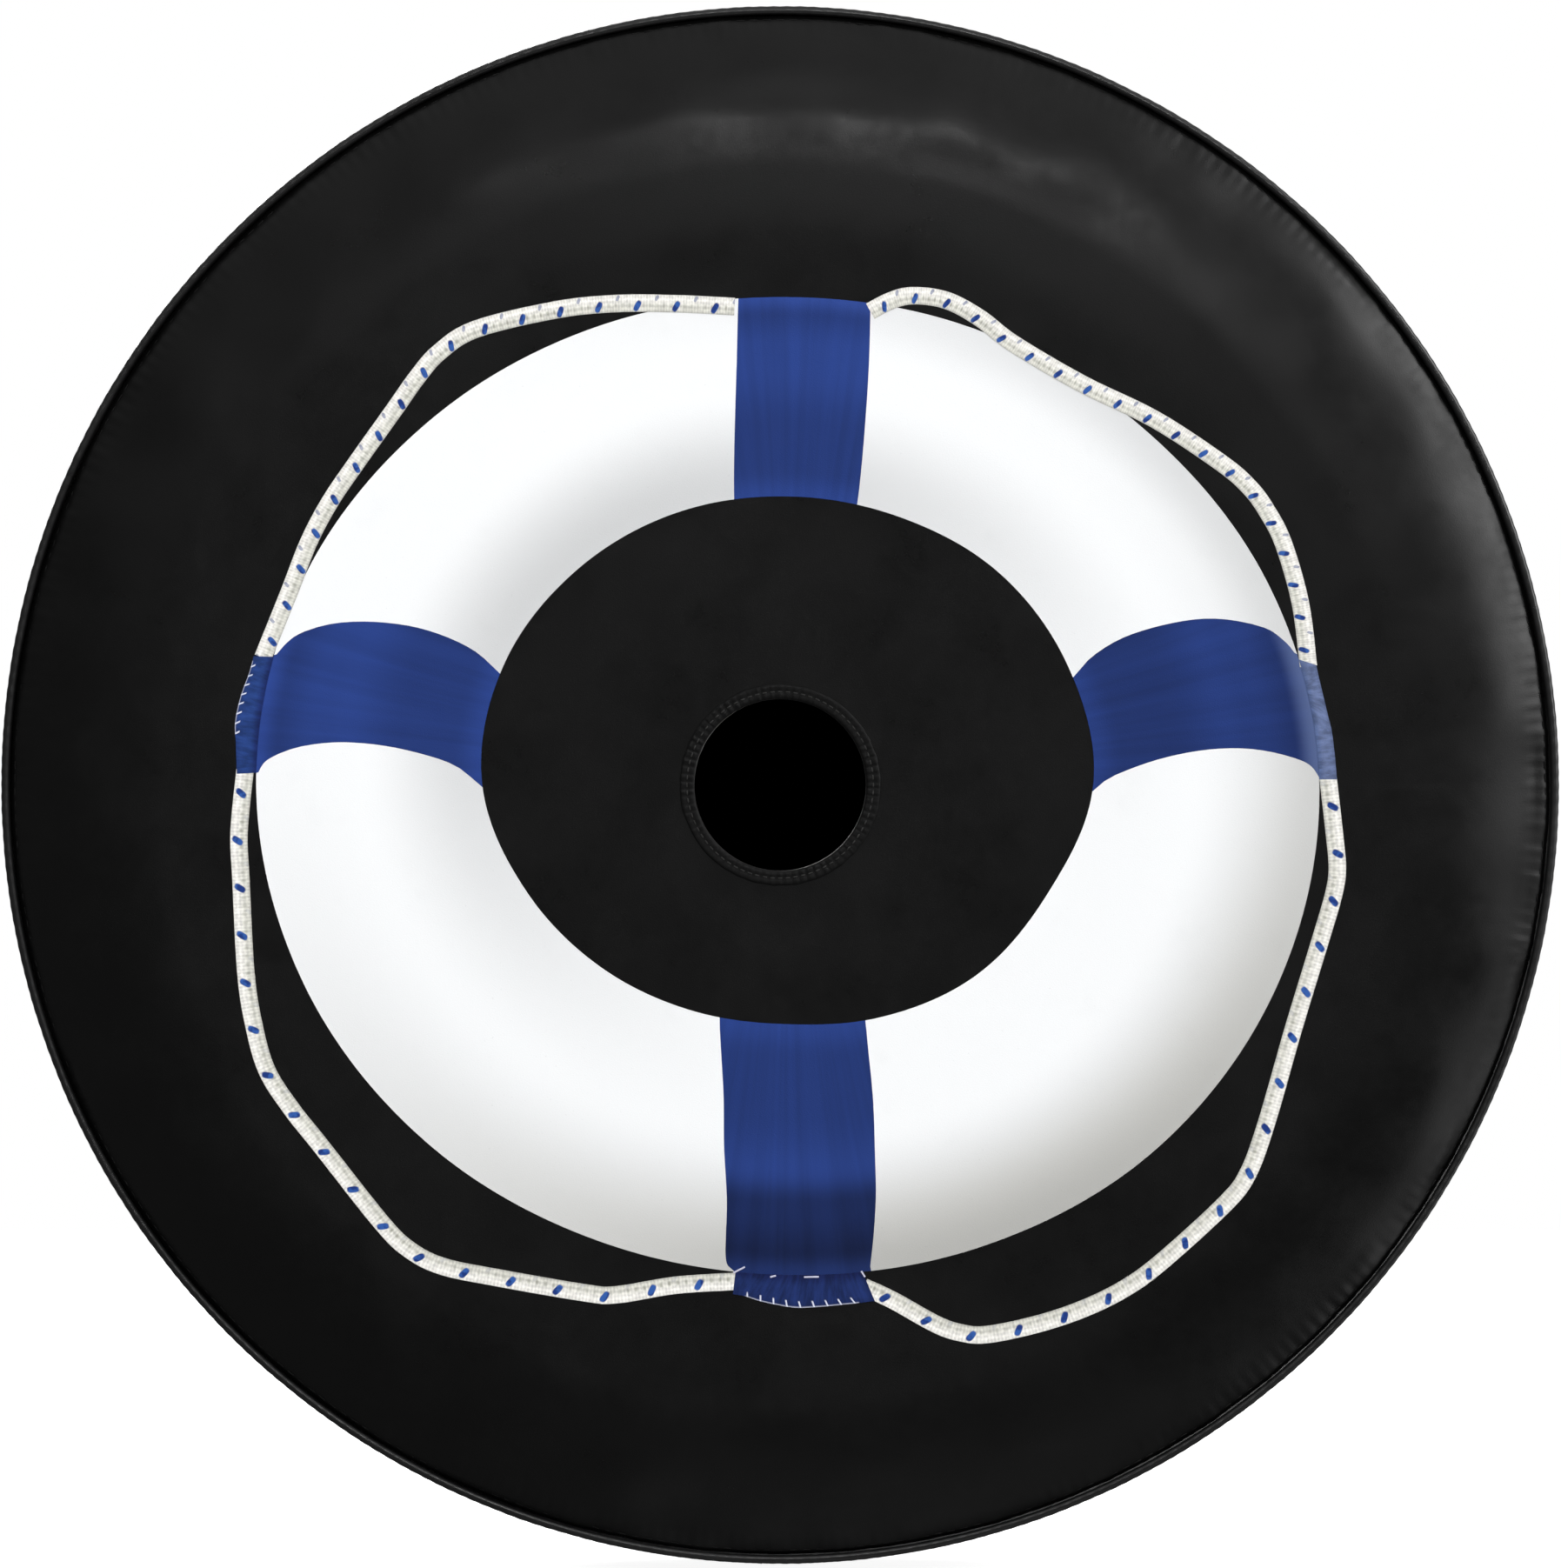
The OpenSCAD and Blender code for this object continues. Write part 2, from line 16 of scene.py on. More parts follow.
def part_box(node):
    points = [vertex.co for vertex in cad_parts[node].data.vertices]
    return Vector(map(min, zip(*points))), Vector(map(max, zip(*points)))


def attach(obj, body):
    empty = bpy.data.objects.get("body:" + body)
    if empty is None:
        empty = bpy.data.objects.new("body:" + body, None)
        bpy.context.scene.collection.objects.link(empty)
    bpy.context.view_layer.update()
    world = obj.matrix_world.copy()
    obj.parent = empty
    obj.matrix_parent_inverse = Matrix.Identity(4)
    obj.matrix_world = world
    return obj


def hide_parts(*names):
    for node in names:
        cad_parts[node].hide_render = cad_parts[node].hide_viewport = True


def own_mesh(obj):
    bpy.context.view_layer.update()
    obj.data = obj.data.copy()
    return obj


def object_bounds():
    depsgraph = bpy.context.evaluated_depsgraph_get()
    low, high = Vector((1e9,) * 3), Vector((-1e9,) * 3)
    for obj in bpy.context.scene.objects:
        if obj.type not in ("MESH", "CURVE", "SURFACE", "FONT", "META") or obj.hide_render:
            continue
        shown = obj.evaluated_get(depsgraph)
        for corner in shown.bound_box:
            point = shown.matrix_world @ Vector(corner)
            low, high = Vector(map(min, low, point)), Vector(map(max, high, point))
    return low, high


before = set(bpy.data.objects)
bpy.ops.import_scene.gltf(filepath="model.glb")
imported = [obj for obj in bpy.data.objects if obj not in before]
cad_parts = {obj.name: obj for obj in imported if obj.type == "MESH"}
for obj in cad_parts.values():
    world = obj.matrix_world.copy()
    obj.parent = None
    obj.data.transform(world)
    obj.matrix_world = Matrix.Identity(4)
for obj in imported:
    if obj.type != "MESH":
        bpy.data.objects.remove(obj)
CAD_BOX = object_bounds()
MM = 0.001
TURN = 2 * math.pi

# ---- driving dimensions, the same as the CAD part's ----

FACE_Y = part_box("face_panel")[0].y
FACE_T = 1.2 * MM
FLAT_R = 324 * MM
ROLL_ANGLE = math.radians(42)
BAND_R = 409.5 * MM
BAND_T = 1.0 * MM
BAND_HALF_W = 84 * MM
SHOULDER_R = 34 * MM
RETURN_ANGLE = math.radians(68)
RETURN_L = 42 * MM
SEAM = np.array((405.3, -99.2)) * MM
SEAM_L = 9 * MM
WELT_R = 2.3 * MM
WELT_T = 0.7 * MM
WELT_REACH = 3.3 * MM
PORT_R = 45 * MM
BINDING_W = 7.6 * MM
BINDING_T = 0.8 * MM
PORT_STITCHES = 76
FILM_T = 0.25 * MM
ROPE_W = 9.2 * MM
PRINT_SCALE = 0.9955
CASING_L = 22 * MM
CASING_T = 0.9 * MM
CASING_HALF = 3.4 * MM
CASING_OVERLAP = 8 * MM
CORD_D = 3.5 * MM
TAIL_D = 3.4 * MM

# Directions in the (r, y) plane of the seam: into the cover, and across from face to band
SEAM_IN = np.array((math.cos(math.radians(230)), -math.sin(math.radians(230))))
SEAM_ACROSS = np.array((-SEAM_IN[1], SEAM_IN[0])) * -1
RETURN_DIR = np.array((-math.sin(RETURN_ANGLE), math.cos(RETURN_ANGLE)))
RETURN_OUT = np.array((RETURN_DIR[1], -RETURN_DIR[0]))
BAND_MID_R = BAND_R + BAND_T / 2

# ---- values of this scene alone ----

COLUMNS = 1440
SEAM_STITCHES = 362
HEM_STITCHES = 440
THREAD_D = 0.8 * MM
FLECK_PITCH = 22 * MM
STRANDS = 4
STRAND_LEAD = 3.4 * MM

# ---- small mathematics ----


def smoothstep(low, high, x):
    """0 below low, 1 above high, and smooth between."""
    t = np.clip((x - low) / (high - low), 0, 1)
    return t * t * (3 - 2 * t)


def fade(low, high, x):
    """smoothstep of a length x in metres, from low to high in millimetres."""
    return smoothstep(low * MM, high * MM, x)


def catmull(a, b, c, d, t):
    """The point at fraction t between b and c, on the smooth curve through a, b, c and d."""
    return 0.5 * (2 * b + t * (c - a) + t * t * (2 * a - 5 * b + 4 * c - d) + t**3 * (3 * b - a - 3 * c + d))


def smooth_line(points, n):
    """A smooth line through points, with n steps between each two."""
    p = np.array(points, float)
    last = len(p) - 1
    out = []
    for i in range(last):
        a, b, c, d = p[max(i - 1, 0)], p[i], p[i + 1], p[min(i + 2, last)]
        out += [catmull(a, b, c, d, k / n) for k in range(n)]
    return np.array(out + [p[last]])


def wave_1d(angle, cycles, seed):
    """Smooth noise round the circle, from about -1 to 1, without a step where the circle closes."""
    k = cycles / TURN
    places = [(k * math.cos(a), k * math.sin(a), seed) for a in np.atleast_1d(angle)]
    return np.array([noise.noise(Vector(p)) for p in places])


def noise_at(points, scale, seed):
    """Smooth noise at each (x, y, z) point; scale is the size of its features."""
    return np.array([noise.noise(Vector(p) / scale + Vector((seed, 0, 0))) for p in points])


# ---- mesh building ----


def new_object(name, verts, faces, uvs=None, material_index=None):
    """A shaded-smooth mesh object; uvs has one (u, v) for each corner of each face."""
    mesh = bpy.data.meshes.new(name)
    mesh.from_pydata([tuple(v) for v in verts], [], [tuple(f) for f in faces])
    if uvs is not None:
        layer = mesh.uv_layers.new(name="UVMap")
        layer.data.foreach_set("uv", np.array(uvs, np.float32).ravel())
    if material_index is not None:
        mesh.polygons.foreach_set("material_index", np.array(material_index, np.int32))
    mesh.polygons.foreach_set("use_smooth", [True] * len(mesh.polygons))
    mesh.update()
    obj = bpy.data.objects.new(name, mesh)
    bpy.context.scene.collection.objects.link(obj)
    return obj


def grid_faces(rows, cols, wrap_rows, wrap_cols):
    """Corner indices of a rows x cols grid of vertices, as an array with four columns."""
    i = np.arange(rows if wrap_rows else rows - 1)
    j = np.arange(cols if wrap_cols else cols - 1)
    a, b = np.meshgrid(i, j, indexing="ij")
    a, b = a.ravel(), b.ravel()
    a2, b2 = (a + 1) % rows, (b + 1) % cols
    return np.stack([a * cols + b, a2 * cols + b, a2 * cols + b2, a * cols + b2], axis=1)


def grid_uvs(faces, u, v, cols):
    """(u, v) of each face corner; u per column and v per row, unbroken where the grid closes."""
    row, col = faces // cols, faces % cols
    u_long = np.append(u, u[-1] + (u[1] - u[0]))
    col = np.where((col == 0) & (faces[:, [0]] % cols == cols - 1), cols, col)
    v_long = np.append(v, v[-1])
    return np.stack([u_long[col], v_long[row]], axis=2).reshape(-1, 2)


def line_normals(line):
    """Unit normals of a profile line in the (r, y) plane, on its outer side."""
    d = np.gradient(line, axis=0)
    d /= np.linalg.norm(d, axis=1)[:, None]
    return np.stack([d[:, 1], -d[:, 0]], axis=1)


def arc_length(line):
    """Distance along a line, at each of its points."""
    steps = np.linalg.norm(np.diff(line, axis=0), axis=1)
    return np.concatenate([[0], np.cumsum(steps)])


def resample(line, step):
    """The same line with points at even steps."""
    line = np.array(line, float)
    s = arc_length(line)
    even = np.linspace(0, s[-1], max(2, int(round(s[-1] / step)) + 1))
    return np.stack([np.interp(even, s, line[:, k]) for k in range(2)], axis=1)


def angles(columns):
    """Even angles once round the circle."""
    return np.arange(columns) * TURN / columns


def wheel_points(r, y, theta):
    """(x, y, z) points at radius r from the wheel's axis, in the directions theta."""
    return np.stack(np.broadcast_arrays(r * np.cos(theta), y, r * np.sin(theta)), axis=-1)


def revolve(name, line, thickness, lift):
    """A sheet of a thickness turned round the wheel's axis: outer wall in slot 0, inner wall in slot 1.
    lift(s, r, angle) moves both walls along the normal; s is the distance along the profile.
    The inner wall has every other row of the outer one."""
    theta = angles(COLUMNS)
    s = arc_length(line)
    normals = line_normals(line)
    shift = lift(s, line[:, 0], theta)
    outer_rows = list(range(len(line)))
    inner_rows = [i for i in outer_rows if i % 2 == 0 or i == outer_rows[-1]][::-1]
    verts, v_rows = [], []
    for rows, side in ((outer_rows, 0.5), (inner_rows, -0.5)):
        for i in rows:
            off = shift[i] + side * thickness
            r = line[i, 0] + normals[i, 0] * off
            y = line[i, 1] + normals[i, 1] * off
            verts.append(wheel_points(r, y, theta))
            v_rows.append(s[i])
    rows = len(verts)
    faces = grid_faces(rows, COLUMNS, True, True)
    index = np.where((faces[:, 0] // COLUMNS) < len(outer_rows) - 1, 0, 1)
    uvs = grid_uvs(faces, theta * line[:, 0].mean(), np.array(v_rows), COLUMNS)
    return new_object(name, np.concatenate(verts), faces, uvs, index)


def revolve_loop(name, loop, columns=COLUMNS):
    """A closed profile turned round the axis. loop(theta) gives the (r, y) of each of its points, where
    r and y are the same all round or one value for each column."""
    theta = angles(columns)
    r, y = (np.array([point[k] + 0 * theta for point in loop(theta)]) for k in (0, 1))
    rows = r.shape[0]
    verts = wheel_points(r, y, theta).reshape(-1, 3)
    faces = grid_faces(rows, columns, True, True)
    v = np.concatenate([[0], np.cumsum(np.hypot(np.diff(r[:, 0]), np.diff(y[:, 0])))])
    return new_object(name, verts, faces, grid_uvs(faces, theta * r.mean(), v, columns))


def thin_sheet(name, top, bottom, uv):
    """A closed film between two grids of points of the same shape (rows, cols, 3), with uv for both."""
    rows, cols = top.shape[:2]
    low = rows * cols
    verts = np.concatenate([top.reshape(-1, 3), bottom.reshape(-1, 3)])
    upper = grid_faces(rows, cols, False, False)
    lower = upper[:, ::-1] + low
    rim = [i * cols for i in range(rows)]
    rim += [(rows - 1) * cols + j for j in range(1, cols)]
    rim += [i * cols + cols - 1 for i in range(rows - 2, -1, -1)]
    rim += range(cols - 2, 0, -1)
    walls = [(b, a, a + low, b + low) for a, b in zip(rim, rim[1:] + rim[:1])]
    faces = np.concatenate([upper, lower, np.array(walls)])
    flat_uv = uv.reshape(-1, 2)
    sheet = new_object(name, verts, faces, flat_uv[faces.ravel() % low])
    sheet.data.set_sharp_from_angle(angle=math.radians(40))
    return sheet


def add_materials(obj, *materials):
    for m in materials:
        obj.data.materials.append(m)


def face_outward(obj):
    """Turns the faces of a closed piece to the outside, whichever way round its grid was made."""
    shape = bmesh.new()
    shape.from_mesh(obj.data)
    if shape.calc_volume(signed=True) < 0:
        obj.data.flip_normals()
    shape.free()


def finish_piece(obj, body, slot, *materials, replaces=()):
    """What every piece of this scene needs: faces turned outward, materials, a body, and the CAD
    nodes it stands for. The slot argument is not used."""
    face_outward(obj)
    add_materials(obj, *materials)
    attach(obj, body)
    if replaces:
        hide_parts(*replaces)
    return obj


# ---- material building ----


class Nodes:
    """Short calls for making the nodes of a new material, or of a new world."""

    def __init__(self, name, kind="materials"):
        self.owner = getattr(bpy.data, kind).new(name)
        self.owner.use_nodes = True
        self.tree = self.owner.node_tree

    def put(self, socket, value):
        """Links value to socket if it is another node's output, else sets it."""
        if isinstance(value, bpy.types.NodeSocket):
            self.tree.links.new(value, socket)
        else:
            socket.default_value = value

    def set(self, **values):
        for key, value in values.items():
            self.put(self.tree.nodes["Principled BSDF"].inputs[key.replace("_", " ")], value)

    def node(self, kind, inputs=None, **settings):
        n = self.tree.nodes.new(kind)
        for key, value in settings.items():
            setattr(n, key, value)
        for key, value in (inputs or {}).items():
            self.put(n.inputs[key], value)
        return n

    def math(self, operation, a, b=0.0):
        return self.node("ShaderNodeMath", {0: a, 1: b}, operation=operation).outputs[0]

    def plus(self, *values):
        """The sum of two or more values."""
        return reduce(lambda a, b: self.math("ADD", a, b), values)

    def times(self, *values):
        """The product of two or more values."""
        return reduce(lambda a, b: self.math("MULTIPLY", a, b), values)

    def minus(self, a, b):
        return self.math("SUBTRACT", a, b)

    def power(self, a, b):
        return self.math("POWER", a, b)

    def sine(self, a):
        return self.math("SINE", a)

    def place(self):
        return self.node("ShaderNodeTexCoord").outputs["Object"]

    def uv(self):
        """u and v of the piece's own map, in metres or as its maker says."""
        split = self.node("ShaderNodeSeparateXYZ", {0: self.node("ShaderNodeUVMap").outputs[0]})
        return split.outputs[0], split.outputs[1]

    def noise(self, scale, detail=2.0, roughness=0.5, vector=None):
        where = self.place() if vector is None else vector
        settings = {"Vector": where, "Scale": scale, "Detail": detail, "Roughness": roughness}
        return self.node("ShaderNodeTexNoise", settings).outputs["Fac"]

    def cells(self, scale):
        """Soft round cells, as the grain of leather."""
        inputs = {"Vector": self.place(), "Scale": scale}
        return self.node("ShaderNodeTexVoronoi", inputs, feature="SMOOTH_F1").outputs[0]

    def span(self, value, low, high, to_low=0.0, to_high=1.0):
        """Maps low..high smoothly to to_low..to_high, held at the ends."""
        inputs = {"Value": value, "From Min": low, "From Max": high, "To Min": to_low, "To Max": to_high}
        return self.node("ShaderNodeMapRange", inputs, interpolation_type="SMOOTHSTEP").outputs[0]

    def mix(self, factor, a, b):
        n = self.node("ShaderNodeMix", data_type="RGBA")
        self.put(n.inputs["Factor"], factor)
        self.put(n.inputs[6], a)
        self.put(n.inputs[7], b)
        return n.outputs[2]

    def scaled(self, colour, factor):
        """A colour made brighter or darker by a factor."""
        start = colour if isinstance(colour, bpy.types.NodeSocket) else colour[:3]
        return self.node("ShaderNodeVectorMath", {0: start, 3: factor}, operation="SCALE").outputs[0]

    def bump(self, height, distance):
        inputs = {"Height": height, "Distance": distance, "Strength": 1.0}
        return self.node("ShaderNodeBump", inputs).outputs[0]


def linear(*rgb):
    """A screen colour, 0 to 255, as the linear colour that shaders take."""
    return tuple(c / 255 / 12.92 if c < 10 else ((c / 255 + 0.055) / 1.055) ** 2.4 for c in rgb) + (1.0,)


def toned(colour, factor, lift=0.0):
    """An (r, g, b, ...) colour made brighter or darker by a factor, and then lifted."""
    return tuple(c * factor + lift for c in colour[:3]) + (1.0,)


def grey(level, blue=None):
    """A grey as a linear colour. blue, if it is given, is the colour's blue part."""
    return (level, level, level if blue is None else blue, 1.0)


def vinyl(name, tone, grain=0.5 * MM, roughness=0.42, gloss=0.45):
    """Coated fabric: soft leather grain, with faint blotches of tone and of gloss."""
    n = Nodes(name)
    grain_cells = n.cells(1 / grain)
    fibres = n.noise(1600, 3)
    blotches = n.noise(26, 3, 0.6)
    wear = n.noise(130, 4, 0.6)
    worn = n.plus(n.times(blotches, 0.5), n.times(wear, 0.5))
    height = n.plus(n.times(grain_cells, 0.7), n.times(fibres, 0.3))
    n.set(Base_Color=n.mix(worn, toned(tone, 0.8), toned(tone, 1.25)))
    n.set(Roughness=n.plus(n.span(blotches, 0.3, 0.7, roughness - 0.05, roughness + 0.06),
                           n.span(wear, 0.35, 0.7, -0.02, 0.03)))
    n.set(Normal=n.bump(height, 0.05 * MM))
    n.set(Specular_IOR_Level=gloss)
    return n.owner


def backing(name, tone):
    """Knitted cloth, as on the inner side of the vinyl, with painted shade in the knit's hollows."""
    n = Nodes(name)
    x, y, z = n.node("ShaderNodeSeparateXYZ", {0: n.place()}).outputs
    across = n.sine(n.times(n.plus(x, y), 4200))
    along = n.sine(n.times(n.minus(z, y), 4200))
    knit = n.times(across, along)
    fuzz = n.noise(900, 4, 0.7)
    colour = n.mix(n.noise(40, 3), grey(tone * 0.8, tone * 0.82), grey(tone * 1.2, tone * 1.18))
    # painted shade: the colour is darker where the knit is low, in the same places as its bump
    n.set(Base_Color=n.mix(n.span(knit, -1, 1), n.scaled(colour, 0.75), colour))
    n.set(Roughness=n.span(fuzz, 0.3, 0.7, 0.8, 0.95))
    n.set(Normal=n.bump(n.plus(n.times(knit, 0.6), fuzz), 0.12 * MM))
    n.set(Specular_IOR_Level=0.15)
    return n.owner


def thread(name, tone):
    """Twisted sewing thread; the ply runs slantwise over each stitch, and the grooves between its plies are
    painted darker as shade.
    """
    n = Nodes(name)
    u, v = n.uv()
    ply = n.sine(n.times(n.plus(u, n.times(v, 1.5)), 9000))
    fuzz = n.noise(2500, 2)
    # painted shade: the thread's colour is darker in the grooves between the plies, where the bump is low
    n.set(Base_Color=n.mix(n.span(ply, -1, 1), toned(tone, 0.6), tone))
    n.set(Roughness=n.span(fuzz, 0.3, 0.7, 0.55, 0.75))
    n.set(Normal=n.bump(n.plus(ply, fuzz), 0.1 * MM))
    return n.owner


def plastic(name, tone, roughness):
    """Moulded plastic with fine spark texture and scuffed spots."""
    n = Nodes(name)
    spark = n.noise(2600, 2)
    scuff = n.noise(220, 5, 0.7)
    n.set(Base_Color=n.mix(n.span(scuff, 0.45, 0.75), tone, toned(tone, 1.6, 0.004)))
    n.set(Roughness=n.span(scuff, 0.35, 0.7, roughness - 0.06, roughness + 0.12))
    n.set(Normal=n.bump(n.plus(spark, n.times(scuff, 0.4)), 0.04 * MM))
    return n.owner


def metal(name, tone, roughness=0.3):
    """Bare or plated steel with fine marks and small stains."""
    n = Nodes(name)
    marks = n.noise(800, 4, 0.7)
    stains = n.noise(180, 3)
    n.set(Metallic=1.0)
    n.set(Base_Color=n.mix(n.span(stains, 0.5, 0.75), tone, toned(tone, 0.6)))
    n.set(Roughness=n.span(marks, 0.3, 0.7, roughness - 0.1, roughness + 0.15))
    n.set(Normal=n.bump(marks, 0.02 * MM))
    return n.owner


def printed(n, colour):
    """Ink on the vinyl: it takes the vinyl's grain and is a little matt."""
    ink = n.noise(2200, 3)
    n.set(Base_Color=colour)
    n.set(Roughness=n.span(n.noise(60, 3), 0.3, 0.7, 0.52, 0.62))
    n.set(Normal=n.bump(n.plus(n.cells(2000), ink), 0.035 * MM))
    n.set(Specular_IOR_Level=0.2)
    return n.owner


def half_cosine(n, angle, direction):
    """1 at a direction round the ring, in degrees, falling to 0 on its far side. angle is in turns."""
    turned = n.times(n.minus(angle, direction / 360), TURN)
    return n.plus(n.times(n.math("COSINE", turned), 0.5), 0.5)


def white_ink():
    """The ring's white body, drawn as a rounded ring lit from the upper left.
    The map's u is the direction in turns, and v goes from the inner edge, 0, to the outer one, 1."""
    n = Nodes("ink_white")
    angle, across = n.uv()
    inner_side = n.times(n.power(half_cosine(n, angle, 125), 1.5), n.span(across, 0.55, 0.05))
    outer_side = n.times(n.power(half_cosine(n, angle, 297), 2.4), n.span(across, 0.42, 1.0))
    right_edge = n.times(n.power(half_cosine(n, angle, 45), 5.0), n.span(across, 0.7, 1.0))
    creases = n.span(n.noise(30, 5, 0.6), 0.55, 0.8)
    dirt = n.span(n.noise(700, 2), 0.72, 0.78)
    dark = n.plus(n.times(inner_side, 0.17), n.times(outer_side, 0.29), n.times(right_edge, 0.09),
                  n.times(creases, 0.012), n.times(dirt, 0.05))
    level = n.power(n.minus(1.0, dark), 2.2)
    tint = n.mix(n.span(outer_side, 0, 1), (0.85, 0.86, 0.87, 1), (0.87, 0.865, 0.83, 1))
    return printed(n, n.scaled(tint, level))


def blue_ink():
    """The ring's blue bands: cloth wrapped round it, lighter at its middle and edges, darker low down."""
    n = Nodes("ink_blue")
    angle, across = n.uv()
    inner_edge = n.span(across, 0.14, 0.0)
    belly = n.times(n.span(across, 0.35, 0.65), n.span(across, 0.95, 0.75))
    outer_edge = n.span(across, 0.9, 1.0)
    lower = n.times(half_cosine(n, angle, 275), n.span(across, 0.5, 0.72))
    shade = n.plus(n.times(inner_edge, 0.16), n.times(belly, 0.16), n.times(outer_edge, 0.25),
                   n.times(n.power(lower, 2.5), -0.42))
    stretched = n.node("ShaderNodeCombineXYZ", {0: n.times(angle, 360), 1: across}).outputs[0]
    folds = n.span(n.noise(0.45, 3, 0.55, stretched), 0.3, 0.7, -0.05, 0.05)
    facing_right = n.power(half_cosine(n, angle, 6), 6.0)
    shade = n.minus(shade, n.times(facing_right, 0.1))
    pale = n.times(facing_right, n.span(across, 0.9, 1.0), 0.5)
    level = n.plus(shade, folds, 0.92)
    blue = n.scaled(linear(33, 55, 117), n.power(level, 2.0))
    return printed(n, n.mix(pale, blue, linear(104, 119, 150)))


def fleck(n, along, across, row, size, offset):
    """Small slanting flecks in a row along a rope, 1 inside them. size is (length, width) in metres."""
    slant = math.radians(60)
    at = n.math("FRACT", n.math("DIVIDE", n.plus(along, offset), FLECK_PITCH))
    p = n.times(n.minus(at, 0.5), FLECK_PITCH)
    q = n.times(n.minus(across, row), ROPE_W)
    lengthwise = n.plus(n.times(p, math.cos(slant)), n.times(q, math.sin(slant)))
    sidewise = n.minus(n.times(q, math.cos(slant)), n.times(p, math.sin(slant)))
    powers = [n.power(n.math("ABSOLUTE", n.math("DIVIDE", way, reach / 2)), 3.0)
              for way, reach in zip((lengthwise, sidewise), size)]
    return n.span(n.plus(*powers), 1.5, 0.6)


def rope_ink(name, fleck_row, faint_row, faint):
    """The printed rope: cream braid, greyer on its inner half, with a row of blue flecks and a fainter one.
    The map's u is the distance along the rope in metres, and v goes from its outer edge to its inner one."""
    n = Nodes(name)
    along, across = n.uv()
    cream = n.mix(n.span(across, 0.3, 0.75), linear(246, 244, 238), linear(220, 219, 210))
    lump = n.sine(n.times(along, TURN / (3.9 * MM)))
    row = n.times(n.span(across, 0.42, 0.6), n.span(across, 0.85, 0.68))
    patchy = n.span(n.noise(40, 2), 0.35, 0.65, 0.4, 1.0)
    lumps = n.times(n.span(lump, 0.0, 1.0), row, patchy)
    cream = n.mix(lumps, cream, linear(186, 186, 174))
    slanted = n.times(across, 6 * MM)
    strands = [n.sine(n.times(n.math(way, along, slanted), TURN / (3.2 * MM)))
               for way in ("ADD", "SUBTRACT")]
    speck = n.span(n.noise(520, 2), 0.35, 0.65, -0.12, 0.05)
    cream = n.scaled(cream, n.plus(n.span(n.times(*strands), -1, 1, 0.77, 1.0), speck))
    cream = n.scaled(cream, n.span(n.math("ABSOLUTE", n.minus(across, 0.5)), 0.4, 0.5, 1.0, 0.72))
    ink_shade = n.mix(n.span(n.noise(300, 2), 0.4, 0.6), linear(26, 52, 118), linear(48, 88, 160))
    colour = n.mix(fleck(n, along, across, fleck_row, (6.0 * MM, 3.0 * MM), 0.0), cream, ink_shade)
    small = fleck(n, along, across, faint_row, (3.2 * MM, 1.7 * MM), FLECK_PITCH / 2)
    return printed(n, n.mix(n.times(small, faint), colour, linear(62, 84, 138)))


def seizing_ink(name, tone, inner_tone, stitched=None, pitch=None):
    """A printed wrapping of blue cloth, with soft folds across it and white stitches on its outer edge.
    stitched is the part of its length that has stitches, from and to, in metres, and pitch their spacing."""
    n = Nodes(name)
    along, across = n.uv()
    place = n.node("ShaderNodeCombineXYZ", {0: along, 1: n.times(across, 3 * MM)}).outputs[0]
    folds = n.span(n.noise(260, 4, 0.65, place), 0.3, 0.7, 0.58, 1.25)
    colour = n.mix(n.span(across, 0.6, 1.0), linear(*tone), linear(*inner_tone))
    colour = n.scaled(n.scaled(colour, folds), n.span(across, 0.0, 0.25, 0.8, 1.0))
    if stitched:
        slant, stitch_end = 1.8 * MM, 0.22
        moved = n.plus(along, n.times(across, slant / stitch_end))
        at = n.times(n.math("FRACT", n.math("DIVIDE", moved, pitch)), pitch)
        stitch = n.times(n.span(at, 0.0, 0.3 * MM), n.span(at, 1.2 * MM, 0.9 * MM),
                         n.span(across, stitch_end, stitch_end - 0.05))
        stitch = n.math("MAXIMUM", stitch, n.span(across, 0.05, 0.02, 0.0, 0.5))
        start, end = stitched
        stitch = n.times(stitch, n.span(along, start, start + 1 * MM), n.span(along, end, end - 1 * MM))
        colour = n.mix(stitch, colour, linear(206, 208, 224))
    return printed(n, colour)


# ---- camera, light, stage ----


def make_camera():
    """Straight in front of the face, from far away, with the piping just inside the frame."""
    lens, sensor = 400, 36
    frame_side = 824.86 * MM
    aim_x, aim_z = 0.2 * MM, 0.5 * MM
    welt_y = SEAM[1] - WELT_REACH * SEAM_IN[1]
    data = bpy.data.cameras.new("camera")
    data.lens = lens
    data.sensor_width = sensor
    data.clip_end = 60
    camera = bpy.data.objects.new("camera", data)
    bpy.context.scene.collection.objects.link(camera)
    camera.location = (aim_x, welt_y - frame_side * lens / sensor, aim_z)
    camera.rotation_euler = (math.radians(90), 0, 0)
    bpy.context.scene.camera = camera


def area_light(name, place, size, watts, diffuse=True, glossy=True, tall=1.0):
    """A soft light that looks at the middle of the cover, for matt light, for gloss, or for both.
    Its height is tall times its width, size."""
    data = bpy.data.lights.new(name, "AREA")
    data.shape = "RECTANGLE"
    data.size = size
    data.size_y = size * tall
    data.energy = watts
    lamp = bpy.data.objects.new(name, data)
    lamp.location = place
    lamp.rotation_euler = (-Vector(place)).to_track_quat("-Z", "Y").to_euler()
    lamp.visible_diffuse = diffuse
    lamp.visible_glossy = glossy
    bpy.context.scene.collection.objects.link(lamp)


